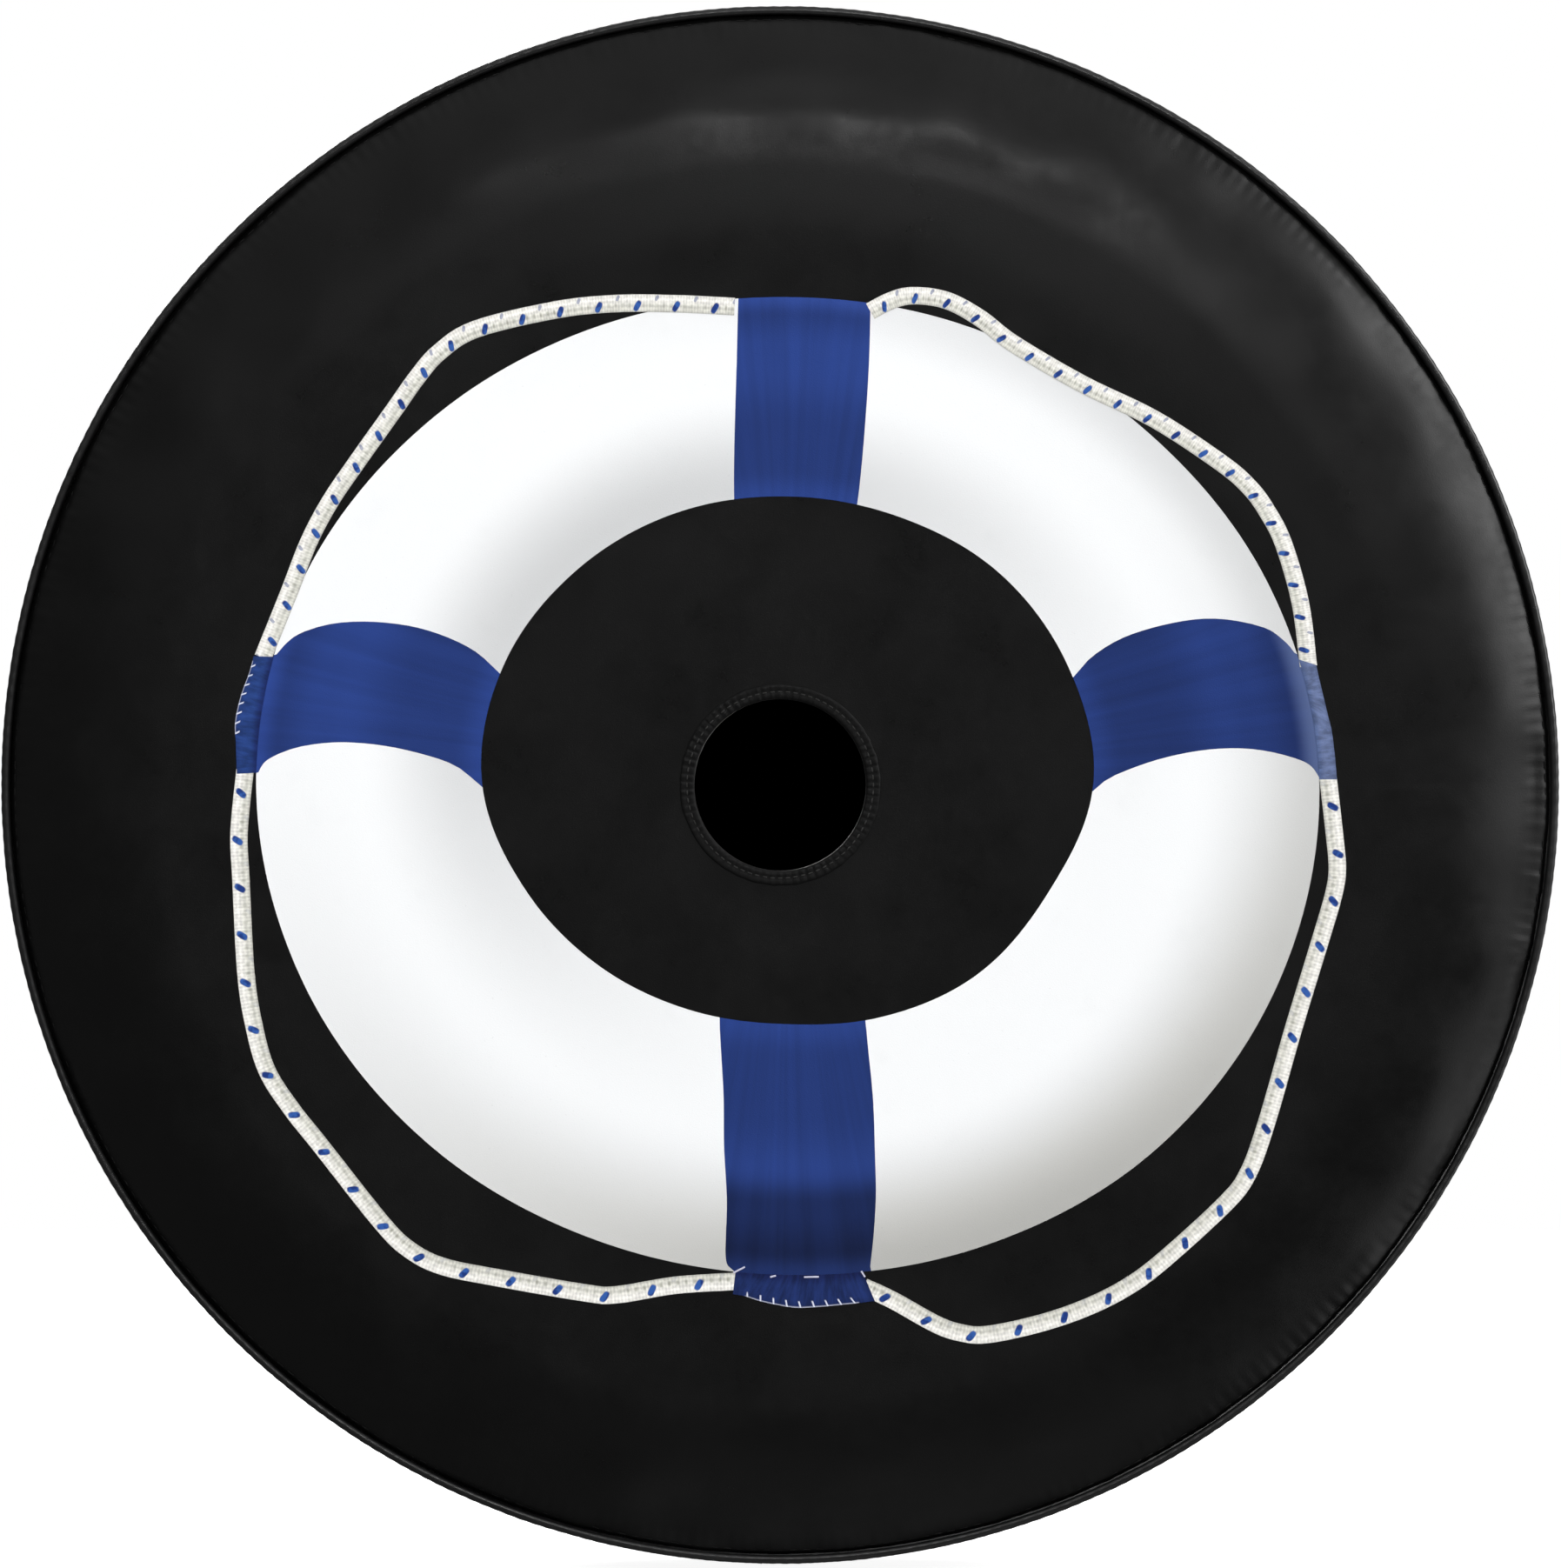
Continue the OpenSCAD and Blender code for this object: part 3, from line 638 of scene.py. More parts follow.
def make_lights():
    """Even matt light from the front, gloss from the right, above and below, and light for rear views."""
    bpy.context.scene.view_settings.view_transform = "Standard"
    area_light("key_left", (-3.6, -6.0, 2.4), 2.4, 330, glossy=False)
    area_light("key_right", (3.6, -6.0, 2.4), 2.4, 300, glossy=False)
    area_light("key_low", (0.0, -6.2, -3.6), 2.4, 360, glossy=False)
    area_light("gloss_right", (5.5, -1.6, 2.5), 3.0, 150, diffuse=False, tall=1.6)
    area_light("gloss_low", (5.2, -1.5, -2.6), 2.6, 26, diffuse=False, tall=1.3)
    area_light("gloss_floor", (1.0, -3.0, -5.0), 4.0, 8, diffuse=False)
    area_light("gloss_top", (0.6, -5.4, 2.5), 1.1, 30, diffuse=False)
    area_light("rear", (-1.8, 5.0, 2.2), 2.4, 160)
    area_light("rear_low", (2.6, 4.6, -1.4), 2.4, 60)


def make_world():
    """White behind the object for the camera, and a dim sky that is brighter above for light and gloss.
    Straight ahead is painted dark, as painted shade for the inside behind the camera port; only the port lets
    it be seen."""
    n = Nodes("studio", "worlds")
    bpy.context.scene.world = n.owner
    direction = n.node("ShaderNodeTexCoord").outputs["Generated"]

    def share(axis):
        """How far the direction points along an axis."""
        dot = n.node("ShaderNodeVectorMath", {0: direction, 1: axis}, operation="DOT_PRODUCT")
        return dot.outputs["Value"]

    white, painted_shade_cone = (1, 1, 1, 1), math.radians(1.2)
    sky = n.node("ShaderNodeMapRange", {"Value": share((0.34, -0.1, 0.93)), "To Min": 0.11, "To Max": 0.54})
    dim = n.tree.nodes["Background"]
    n.put(dim.inputs["Color"], white)
    n.put(dim.inputs["Strength"], sky.outputs[0])
    # painted shade: a dark cone of background straight ahead, seen only through the camera port, stands in
    # for the shaded inside
    outside = n.math("LESS_THAN", share((0, 1, 0)), math.cos(painted_shade_cone))
    bright = n.node("ShaderNodeBackground", {"Color": white, "Strength": outside})
    camera_ray = n.node("ShaderNodeLightPath").outputs["Is Camera Ray"]
    mix = n.node("ShaderNodeMixShader", {0: camera_ray, 1: dim.outputs[0], 2: bright.outputs[0]})
    n.put(n.tree.nodes["World Output"].inputs[0], mix.outputs[0])


def make_floor():
    """A pale round floor just below the cover, which shows about as white as the background."""
    radius, below, sides = 7.0, 4 * MM, 96
    z = CAD_BOX[0].z - below
    ring = [(radius * math.cos(a), radius * math.sin(a), z) for a in angles(sides)]
    floor = new_object("floor", ring, [list(range(sides))])
    n = Nodes("floor_pale")
    n.set(Base_Color=n.mix(n.noise(3), grey(0.8), grey(0.82)))
    n.set(Roughness=0.9)
    glow = n.node("ShaderNodeLightPath").outputs["Is Camera Ray"]
    n.set(Emission_Color=(1, 1, 1, 1))
    n.set(Emission_Strength=n.times(glow, 0.92))
    add_materials(floor, n.owner)
    floor.visible_diffuse = False
    floor.visible_glossy = False


# ---- the face ----


def tuck_phase(theta):
    """The phase of the tucks between the seam's stitches, the same for the face, the piping and the band."""
    return SEAM_STITCHES * theta + 2.2 * wave_1d(theta, 60, 3.3)


def face_profile():
    """Middle of the face sheet as (r, y), from the hole to the end of the seam allowance."""
    t = WELT_T / 2 + FACE_T / 2 + 0.02 * MM
    seam = SEAM - t * SEAM_ACROSS
    mid_y = FACE_Y + FACE_T / 2
    a = np.linspace(0, ROLL_ANGLE, 60)
    reach = seam[0] - 0.8 * MM - FLAT_R
    drop = seam[1] - 0.6 * MM - mid_y
    rolled = np.stack([FLAT_R + reach * np.sin(a) / math.sin(ROLL_ANGLE),
                       mid_y + drop * (1 - np.cos(a)) / (1 - math.cos(ROLL_ANGLE))], axis=1)
    flat_near = np.linspace(PORT_R + BINDING_T, 60 * MM, 5)[:-1]
    flat_far = np.linspace(60 * MM, FLAT_R, 34)[:-1]
    flat = [(r, mid_y) for r in (*flat_near, *flat_far)]
    outer = resample(rolled, 2.4 * MM)
    flange = [seam + 1 * MM * SEAM_IN, seam + 4 * MM * SEAM_IN, seam + SEAM_L * SEAM_IN]
    return np.array(flat + list(map(tuple, outer)) + [tuple(p) for p in flange])


FACE_LINE = face_profile()


def ridge_lift(r, theta):
    """The soft crease over the tyre's shoulder, strongest at the top, where the face leans back before it."""
    off = theta - math.radians(88)
    crease = np.exp(-((off / 0.5) ** 2)) * np.exp(-(((r - 352 * MM) / (9 * MM)) ** 2)) * 0.5 * MM
    lean = fade(285, 345, r) * (1 - fade(345, 395, r)) * 2.4 * MM
    return crease - np.exp(-((off / 0.8) ** 2)) * lean


def face_lift(s, r, theta):
    """How far the face stands proud of its drawn shape: slow waves, the crease, and puckers at the seam."""
    out = np.zeros((len(r), len(theta)))
    pucker_size = 0.55 + 0.45 * wave_1d(theta, 40, 8.1)
    puckers = 0.24 * np.cos(tuck_phase(theta)) * pucker_size + 0.6 * wave_1d(theta, 230, 7.7)
    folds = wave_1d(theta, 34, 5.7) + 0.7 * wave_1d(theta, 90, 1.9)
    patches = wave_1d(theta, 17, 9.4)
    for i, radius in enumerate(r):
        points = wheel_points(radius, 0, theta)
        near_port = fade(56, 95, radius)
        near_seam = 1 - fade(396, 404, radius)
        out[i] += near_port * near_seam * noise_at(points, 0.12, 2.5) * 0.7 * MM
        on_roll = fade(330, 368, radius) * near_seam
        out[i] += on_roll * (noise_at(points, 0.05, 7.7) * 1.9 + patches * 0.9) * MM
        out[i] += fade(352, 390, radius) * near_seam * folds * 0.7 * MM
        close = fade(389, 401, radius) * (1 - fade(403.6, 404.4, radius))
        out[i] += close * (0.5 + 0.8 * puckers) * MM
        out[i] += ridge_lift(radius, theta) * near_seam
    return out


def face_front(x, z):
    """y of the face's front surface under a point of its flat part, by the same waves as face_lift."""
    r = np.hypot(x, z)
    theta = np.arctan2(z, x) % TURN
    points = np.stack([x, 0 * x, z], axis=-1).reshape(-1, 3)
    waves = noise_at(points, 0.12, 2.5).reshape(np.shape(x)) * 0.7 * MM
    lift = fade(56, 95, r) * waves + ridge_lift(r, theta)
    return FACE_Y - lift


def make_face():
    vinyl_face = vinyl("vinyl_face", grey(0.0016), roughness=0.33, gloss=0.4)
    inside = backing("backing_face", 0.055)
    face = revolve("face_sheet", FACE_LINE, FACE_T, face_lift)
    finish_piece(face, "cover", "face_vinyl", vinyl_face, inside, replaces=("face_panel",))


# ---- the printed ring ----

# Drawn in mm, with x to the right and z up. The outlines are radii at even steps round the ring's centre,
# from x towards z. Each two band edges bound one blue band; their points are (degrees, radius).
RING_CENTRE = np.array((4.0, 1.0))
RING_OUTER = [280, 274, 264.5, 258.7, 256, 260.5, 268.5, 277, 280, 276, 268.3, 261, 259, 264.6, 273.5, 279]
RING_INNER = [161, 160, 157, 152, 151, 154, 158, 162, 161, 149, 138, 130, 127, 133, 142, 149]
BAND_EDGES = [
    [(-1.6, 161), (1, 170), (3.4, 192), (4.5, 218), (4.2, 245), (2.4, 272), (0.6, 280)],
    [(20.3, 161), (22.6, 174), (23.4, 197), (21.7, 234), (18.4, 262), (16, 272), (14.2, 276)],
    [(76, 152), (77.6, 188), (79, 224), (80.2, 256)],
    [(100.7, 152), (98.7, 185), (97, 221), (95.8, 257)],
    [(159.2, 162), (157, 181), (157.2, 211), (159.8, 246), (163, 269), (166, 278)],
    [(180.8, 161), (176.9, 176), (175, 203), (174.7, 232), (175.7, 257), (177.4, 274), (178.9, 279)],
    [(253.8, 129), (256.1, 146), (258.4, 168), (260.1, 195), (261.7, 222), (262.6, 253), (263.8, 258)],
    [(288.1, 132), (286.7, 148), (285.2, 171), (283.4, 198), (281.9, 225), (279.7, 258)],
]
# Middle of each rope loop between two bands, as (x, z)
ROPE_LOOPS = [
    [(-24, 252), (-55, 253.5), (-88, 253.5), (-119.5, 250), (-160.5, 240), (-179.5, 228), (-191, 215),
     (-203, 198), (-224, 168.5), (-237.5, 148.5), (-248.5, 127.5), (-259, 100.5), (-272.5, 67)],
    [(-281.8, 8), (-285, -25), (-284, -50), (-281.5, -98), (-277.5, -125), (-270.5, -150), (-257.5, -170.5),
     (-242, -190), (-210, -230.5), (-195, -245), (-178, -253.5), (-152, -259), (-103, -267.5), (-86, -268.5),
     (-55, -263.5), (-22, -261.4)],
    [(44, -264.3), (59.5, -271.5), (82, -284), (95, -288.5), (109, -289.5), (135.5, -284), (159.5, -276),
     (181, -265.5), (200.5, -251.5), (234, -221), (246.5, -204.5), (256.5, -177), (270.5, -128), (284.5, -82),
     (291.5, -58), (293.5, -44), (292, -26), (288.6, 4)],
    [(278.3, 62.5), (274, 96), (265, 127.5), (256, 145), (247, 157), (232.5, 169.5), (197.5, 192.5),
     (159.5, 211), (123.5, 232), (106.5, 245), (92, 253.5), (80, 257), (67, 257.5), (57, 254.5),
     (47.5, 249.5)],
]
# Each wrapping: its outer edge, and the directions of its two ends on the ring's outline
SEIZINGS = {
    "left": ([(-277.3, 67.8), (-279.7, 59), (-284.3, 46.2), (-287.1, 32.7), (-286.7, 21.7), (-286.2, 5.9)],
             (166.2, 178.9)),
    "bottom": ([(-24.9, -268.2), (-18.9, -269.2), (-9.6, -272.1), (6.5, -275.2), (19.4, -275), (35.4, -273.5),
                (49.9, -271.9)], (263.9, 278.7)),
    "right": ([(293.3, 2.9), (292.1, 16.3), (290.5, 29), (288.8, 35.7), (283.8, 56.8), (282.4, 63.2)],
              (0.4, 13.6)),
}
# Loose white threads drawn at the lowest wrapping, as their two ends
LOOSE_THREADS = [((-24.6, -257), (-18.5, -253.8)), ((12.6, -259.2), (20.4, -259)),
                 ((-5.2, -259.2), (-2.2, -258.4)), ((42.8, -256), (44.7, -259.2))]


def outline_r(radii, degrees):
    """Radius of a ring outline given at even steps round the circle."""
    radii = np.array(radii, float)
    t = np.asarray(degrees) * len(radii) / 360
    i = np.floor(t).astype(int)
    a, b, c, d = (radii[(i + k) % len(radii)] for k in (-1, 0, 1, 2))
    return catmull(a, b, c, d, t - i)


def edge_angle(edge, across):
    """Direction of a band's edge at each fraction of the way from the inner outline to the outer one."""
    dense = smooth_line(edge, 6)
    inner, outer = outline_r(RING_INNER, dense[:, 0]), outline_r(RING_OUTER, dense[:, 0])
    fraction = (dense[:, 1] - inner) / (outer - inner)
    return np.interp(across, fraction, dense[:, 0])


def film_at(x, z, uv, name, high):
    """A printed film over a grid of drawn (x, z) points, from the face to height high above it."""
    x, z = x * PRINT_SCALE, z * PRINT_SCALE
    front = face_front(x, z)
    top = np.stack([x, front - high, z], axis=2)
    bottom = np.stack([x, front + 0.02 * MM, z], axis=2)
    return thin_sheet(name, top, bottom, uv)


def ring_sector(name, first, second):
    """The part of the printed ring between two band edges."""
    across = np.concatenate([np.linspace(0, 0.9, 20), np.linspace(0.92, 1, 9)])
    start = edge_angle(BAND_EDGES[first], across)
    end = edge_angle(BAND_EDGES[second], across) + (360 if second < first else 0)
    steps = max(16, int(abs(end - start).max()))
    t = np.linspace(0, 1, steps + 1)[:, None]
    angle = start + (end - start) * t
    inner, outer = outline_r(RING_INNER, angle), outline_r(RING_OUTER, angle)
    r = inner + (outer - inner) * across
    x = (RING_CENTRE[0] + r * np.cos(np.radians(angle))) * MM
    z = (RING_CENTRE[1] + r * np.sin(np.radians(angle))) * MM
    uv = np.stack([angle / 360, across + 0 * angle], axis=2)
    return film_at(x, z, uv, name, FILM_T)


def ribbon(name, points, width, high, stretch=1.0):
    """A film along a line: its map's u is the distance in metres, times stretch, and v goes from outside
    to inside."""
    line = smooth_line(points, 6) * MM
    d = np.gradient(line, axis=0)
    d /= np.linalg.norm(d, axis=1)[:, None]
    side = np.stack([-d[:, 1], d[:, 0]], axis=1)
    side *= np.sign((side * line).sum(axis=1))[:, None]
    v = np.linspace(0, 1, 7)
    offset = (0.5 - v) * width
    x = line[:, [0]] + side[:, [0]] * offset
    z = line[:, [1]] + side[:, [1]] * offset
    s = arc_length(line)[:, None]
    uv = np.stack([s * stretch + 0 * x, v + 0 * x], axis=2)
    return film_at(x, z, uv, name, high)


def seizing(name, edge, ends):
    """A film from the ring's outline to an outer edge. The map's u is the distance along it in metres,
    and v goes from its outer edge to the ring."""
    outer = smooth_line(edge, 12)
    degrees = np.linspace(*ends, len(outer))
    r = outline_r(RING_OUTER, degrees)
    inner = np.stack([RING_CENTRE[0] + r * np.cos(np.radians(degrees)),
                      RING_CENTRE[1] + r * np.sin(np.radians(degrees))], axis=1)
    v = np.linspace(0, 1, 9)
    x, z = ((outer[:, [k]] * (1 - v) + inner[:, [k]] * v) * MM for k in range(2))
    uv = np.stack([arc_length(outer)[:, None] * MM + 0 * x, v + 0 * x], axis=2)
    return film_at(x, z, uv, name, 2.3 * FILM_T)


def make_print():
    white, blue = white_ink(), blue_ink()
    rope_low = rope_ink("ink_rope_low", 0.42, 0.86, 0.15)
    rope_high = rope_ink("ink_rope_high", 0.66, 0.2, 0.6)
    for k, name in enumerate(("upper_right", "upper_left", "lower_left", "lower_right")):
        sector = ring_sector("ring_white_" + name, 2 * k + 1, (2 * k + 2) % 8)
        finish_piece(sector, "cover", "print_white", white, replaces=("print_life_ring",))
    for k, name in enumerate(("right", "top", "left", "bottom")):
        sector = ring_sector("ring_band_" + name, 2 * k, 2 * k + 1)
        finish_piece(sector, "cover", "print_blue", blue, replaces=("print_ring_bands",))
    fleck_pitches = {"upper_left": 20.5, "lower_left": 25, "lower_right": 25, "upper_right": 17.5}
    for (name, pitch), points in zip(fleck_pitches.items(), ROPE_LOOPS):
        loop = ribbon("rope_" + name, points, ROPE_W, 2 * FILM_T, FLECK_PITCH / (pitch * MM))
        ink = rope_high if name.startswith("upper") else rope_low
        finish_piece(loop, "cover", "print_rope", ink, replaces=("print_grab_rope",))
    inks = {
        "left": seizing_ink("ink_seizing_left", (35, 61, 121), (22, 37, 90), (0.002, 0.043), 0.0052),
        "bottom": seizing_ink("ink_seizing_bottom", (26, 43, 94), (17, 28, 72), (0.006, 0.068), 0.0072),
        "right": seizing_ink("ink_seizing_right", (100, 114, 152), (78, 94, 134)),
    }
    for name, (edge, ends) in SEIZINGS.items():
        finish_piece(seizing("seizing_" + name, edge, ends), "cover", "print_navy", inks[name],
                     replaces=("print_rope_seizings",))
    white_thread = printed(Nodes("ink_thread"), linear(188, 188, 208))
    for k, ends in enumerate(LOOSE_THREADS):
        loose = ribbon(f"printed_thread_{k + 1}", ends, 0.9 * MM, 2.8 * FILM_T)
        finish_piece(loose, "cover", "print_navy", white_thread, replaces=("print_rope_seizings",))


# ---- stitches ----


def stitch_row(name, starts, ends, outs, diameter):
    """A row of stitches as short humps of thread, each from a start to an end, standing out along outs."""
    along_t = (0.0, 0.16, 0.84, 1.0)
    height = (-0.45, 0.3, 0.3, -0.45)
    sides = 6
    ring = angles(sides)
    pattern = grid_faces(len(along_t), sides, False, True)
    verts, faces, uvs = [], [], []
    for k, (a, b, out) in enumerate(zip(starts, ends, outs)):
        along = b - a
        length = np.linalg.norm(along)
        side = np.cross(out, along / length)
        base = k * len(along_t) * sides
        for t, h in zip(along_t, height):
            centre = a + along * t + out * diameter * h
            size = diameter / 2 * (0.7 if h < 0 else 1)
            verts += [centre + size * (math.cos(g) * side + math.sin(g) * out) for g in ring]
        faces += (pattern + base).tolist()
        uvs += [(length * along_t[q // sides], (q % sides) * diameter / 2) for q in pattern.ravel()]
        for row, order in ((0, 1), (len(along_t) - 1, -1)):
            faces.append([base + row * sides + j for j in range(sides)][::order])
            uvs += [(0, 0)] * sides
    return new_object(name, verts, faces, uvs)


def even_row(r, y):
    """The place of a row of stitches that runs round at one radius and one y."""
    return lambda theta: (r + 0 * theta, y + 0 * theta)


def ring_stitches(name, count, place, out, length, diameter, phase=0.0):
    """Stitches round the wheel. place(theta) gives their r and y, and out is their (r, y) direction."""
    a = (np.arange(count) + phase) * TURN / count
    r, y = place(a)
    half = length / r / 2

    def at(theta):
        return wheel_points(r, y, theta)

    return stitch_row(name, at(a - half), at(a + half), wheel_points(out[0], out[1], a), diameter)


# ---- camera port ----


def binding_profile():
    """Outline of the folded binding in (r, y), front leg first, going round the hole's edge to the back."""
    front = FACE_Y - BINDING_T - 0.25 * MM
    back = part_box("camera_port_binding")[1].y
    r0, r1 = PORT_R, PORT_R + BINDING_W
    t = BINDING_T
    return np.array([
        (r1, FACE_Y - 0.02 * MM), (r1 + 0.1 * MM, front + 0.5 * MM), (r1 - 0.25 * MM, front + 0.12 * MM),
        (r1 - 1.2 * MM, front), (r1 - 2.6 * MM, front + 0.06 * MM), (r1 - 3.7 * MM, front + 0.3 * MM),
        (r1 - 4.8 * MM, front + 0.02 * MM), (r0 + 1.4 * MM, front + 0.02 * MM),
        (r0 + 0.6 * MM, front + 0.3 * MM), (r0 + 0.1 * MM, front + 0.9 * MM),
        (r0, front + 1.8 * MM), (r0, back - 1.4 * MM),
        (r0 + 0.2 * MM, back - 0.5 * MM), (r0 + 0.8 * MM, back), (r1 - 0.5 * MM, back),
        (r1, back - 0.3 * MM), (r1, back - t + 0.1 * MM), (r0 + t, back - t), (r0 + t, FACE_Y - 0.02 * MM),
    ])


def make_port():
    profile = binding_profile()
    # How far each point of the outline moves with the puckers
    amount = np.array([0, 0.1, 0.25, 0.3, 0.3, 0, 0.35, 0.4, 0.3, 0.2, 0.1, 0, 0, 0, 0, 0, 0, 0, 0]) * MM

    def loop(theta):
        """The binding's outline with the small puckers of a strip that is bent round a curve."""
        pucker = np.cos(PORT_STITCHES * theta + 1.2 * wave_1d(theta, 20, 4.4))
        fine = wave_1d(theta, 260, 9.2)
        y = profile[:, [1]] - amount[:, None] * (0.35 * pucker + 0.5 * fine)[None, :]
        edge = np.zeros(len(profile))
        edge[[0, 1, 2]] = 0.35 * MM
        r = profile[:, [0]] + edge[:, None] * wave_1d(theta, 60, 6.1)[None, :]
        return list(zip(r, y))

    ring = revolve_loop("port_binding", loop, columns=720)
    strip = vinyl("vinyl_binding", grey(0.002), roughness=0.5, gloss=0.3)
    finish_piece(ring, "cover", "binding_vinyl", strip, replaces=("camera_port_binding",))
    row_r, row_y = PORT_R + 3.9 * MM, FACE_Y - BINDING_T + 0.05 * MM
    row = ring_stitches("port_stitches", PORT_STITCHES, even_row(row_r, row_y), (0, -1), 2.6 * MM, 0.7 * MM)
    finish_piece(row, "cover", "port_thread", thread("thread_port", grey(0.042, 0.04)),
                 replaces=("camera_port_thread",))


# ---- seam with piping ----


def make_piping():
    centre = SEAM - WELT_REACH * SEAM_IN

    def loop(theta):
        """The strip wraps the piping cord and its two edges lie together in the seam."""
        ripple = 0.10 * np.cos(tuck_phase(theta)) + 0.16 * wave_1d(theta, 150, 2.2)
        open_angle = math.asin(WELT_T / 2 / WELT_R)
        base = math.atan2(SEAM_IN[1], SEAM_IN[0])
        ring = base + np.linspace(open_angle, TURN - open_angle, 17)
        points = []
        for k, a in enumerate(ring):
            outside = math.sin(k / (len(ring) - 1) * math.pi)
            radius = WELT_R + ripple * MM * outside
            points.append((centre[0] + radius * math.cos(a), centre[1] + radius * math.sin(a)))
        side = np.sign(np.dot(np.array((math.cos(ring[-1]), math.sin(ring[-1]))), SEAM_ACROSS))
        for sign in (1, -1):
            points.append(SEAM + SEAM_L * SEAM_IN + sign * side * WELT_T / 2 * SEAM_ACROSS)
        return points

    piping = revolve_loop("piping", loop)
    strip = vinyl("vinyl_piping", grey(0.0035, 0.0036), roughness=0.34, gloss=0.9)
    finish_piece(piping, "cover", "binding_vinyl", strip, replaces=("welt_cover",))
    seam_row = -5
    normal = line_normals(FACE_LINE)[seam_row]
    place = FACE_LINE[seam_row] + normal * (FACE_T / 2)
    row = ring_stitches("seam_stitches", SEAM_STITCHES, even_row(*place), normal, 5.2 * MM, THREAD_D, 0.5)
    finish_piece(row, "cover", "seam_thread", thread("thread_seam", grey(0.004)),
                 replaces=("face_seam_thread",))


# ---- side band and hem ----


def band_profile():
    """Middle of the band sheet in (r, y), from the seam allowance over the tread to the hem."""
    front = SEAM + (WELT_T / 2 + BAND_T / 2 + 0.02 * MM) * SEAM_ACROSS
    p = [front, front - 1.2 * MM * SEAM_IN, np.array((BAND_MID_R, SEAM[1] + 1 * MM)),
         np.array((BAND_MID_R, -BAND_HALF_W))]
    t = np.linspace(0, 1, 24)[:, None]
    turn_in = ((1 - t) ** 3 * p[0] + 3 * (1 - t) ** 2 * t * p[1]
               + 3 * (1 - t) * t * t * p[2] + t**3 * p[3])
    a = np.linspace(0, RETURN_ANGLE, 40)
    shoulder = np.stack([BAND_MID_R - SHOULDER_R * (1 - np.cos(a)),
                         BAND_HALF_W + SHOULDER_R * np.sin(a)], axis=1)
    hem = shoulder[-1] + RETURN_L * RETURN_DIR
    flange = [front + SEAM_L * SEAM_IN, front + 3 * MM * SEAM_IN]
    front_part = np.array([*flange, *resample(turn_in, 1.6 * MM)])
    tread = resample([turn_in[-1], shoulder[0]], 6 * MM)[1:]
    back_part = resample([*shoulder, hem], 3 * MM)[1:]
    return np.concatenate([front_part, tread, back_part])


BAND_LINE = band_profile()
HEM_POINT = BAND_LINE[-1]
BAND_LENGTH = arc_length(BAND_LINE)[-1]
GATHER_START = BAND_LENGTH - RETURN_L - SHOULDER_R * RETURN_ANGLE


def away_from_exits(theta, near, far):
    """0 within near degrees of the lowest point, where the cord comes out, and 1 beyond far degrees."""
    off = np.abs((theta - 1.5 * math.pi + math.pi) % TURN - math.pi)
    return smoothstep(math.radians(near), math.radians(far), off)


def gather(theta):
    """The pleats that the drawn cord makes at the hem, as a height of about 1 either way."""
    pleats = 66
    phase = pleats * theta + 2.6 * wave_1d(theta, 30, 1.3)
    size = 0.8 + 0.45 * wave_1d(theta, 24, 6.6)
    fold = np.sin(phase) + 0.28 * np.sin(2 * phase + 1.1) + 0.3 * wave_1d(theta, 120, 2.9)
    return fold * size


def hem_wave(theta):
    """How far the pleated hem stands to the rear of its middle."""
    return gather(theta) * away_from_exits(theta, 4, 8.5) * 3.6 * MM


def band_lift(s, r, theta):
    """Slow waves over the tread, tucks at the seam, the joint's groove, and pleats towards the hem."""
    pleats = hem_wave(theta)
    at_joint = np.exp(-(((theta - 1.5 * math.pi) * BAND_R / (1.6 * MM)) ** 2))
    small = np.cos(tuck_phase(theta)) * (0.6 + 0.4 * wave_1d(theta, 50, 4.2))
    out = np.zeros((len(s), len(theta)))
    for i, (along, radius) in enumerate(zip(s, r)):
        points = wheel_points(radius, along, theta)
        flat = fade(12, 30, along) * away_from_exits(theta, 12, 18) ** 0.5
        out[i] -= flat * (0.5 + 0.5 * noise_at(points, 0.07, 4.1)) * 1.0 * MM
        grow = smoothstep(GATHER_START - 10 * MM, BAND_LENGTH - 12 * MM, along)
        out[i] += pleats * grow**1.5
        out[i] -= at_joint * fade(12, 16, along) * (1 - grow) * 0.55 * MM
        front = fade(9, 12, along) * (1 - fade(14, 30, along))
        out[i] -= front * (0.5 + 0.5 * small) * 0.5 * MM
    return out


def make_band():
    band = revolve("band_sheet", BAND_LINE, BAND_T, band_lift)
    drains = [(-42 * MM, -8.4), (42 * MM, 8.4)]
    cut_holes(band, drains)
    finish_piece(band, "cover", "band_vinyl", vinyl("vinyl_band", grey(0.006, 0.0061), 0.7 * MM),
                 backing("backing_band", 0.05), replaces=("side_band",))


def cut_holes(band, places):
    """Cuts the drain holes through the band. A place is its y, and its degrees from the lowest line."""
    for y, degrees in places:
        bpy.ops.mesh.primitive_cylinder_add(vertices=48, radius=4.5 * MM, depth=24 * MM)
        cutter = bpy.context.object
        cutter.rotation_euler = (0, math.radians(180 + degrees), 0)
        down = cutter.rotation_euler.to_matrix() @ Vector((0, 0, BAND_MID_R))
        cutter.location = Vector((0, y, 0)) + down
        cut(band, cutter)


def cut(obj, cutter):
    """Takes cutter's shape out of obj for good."""
    modifier = obj.modifiers.new("cut", "BOOLEAN")
    modifier.operation = "DIFFERENCE"
    modifier.solver = "EXACT"
    modifier.object = cutter
    bpy.context.view_layer.update()
    depsgraph = bpy.context.evaluated_depsgraph_get()
    mesh = bpy.data.meshes.new_from_object(obj.evaluated_get(depsgraph))
    obj.modifiers.clear()
    obj.data = mesh
    bpy.data.objects.remove(cutter)


CASING_SLIM = BAND_T / 2 + 0.02 * MM + CASING_T
CASING_ORIGIN = HEM_POINT - CASING_OVERLAP * RETURN_DIR


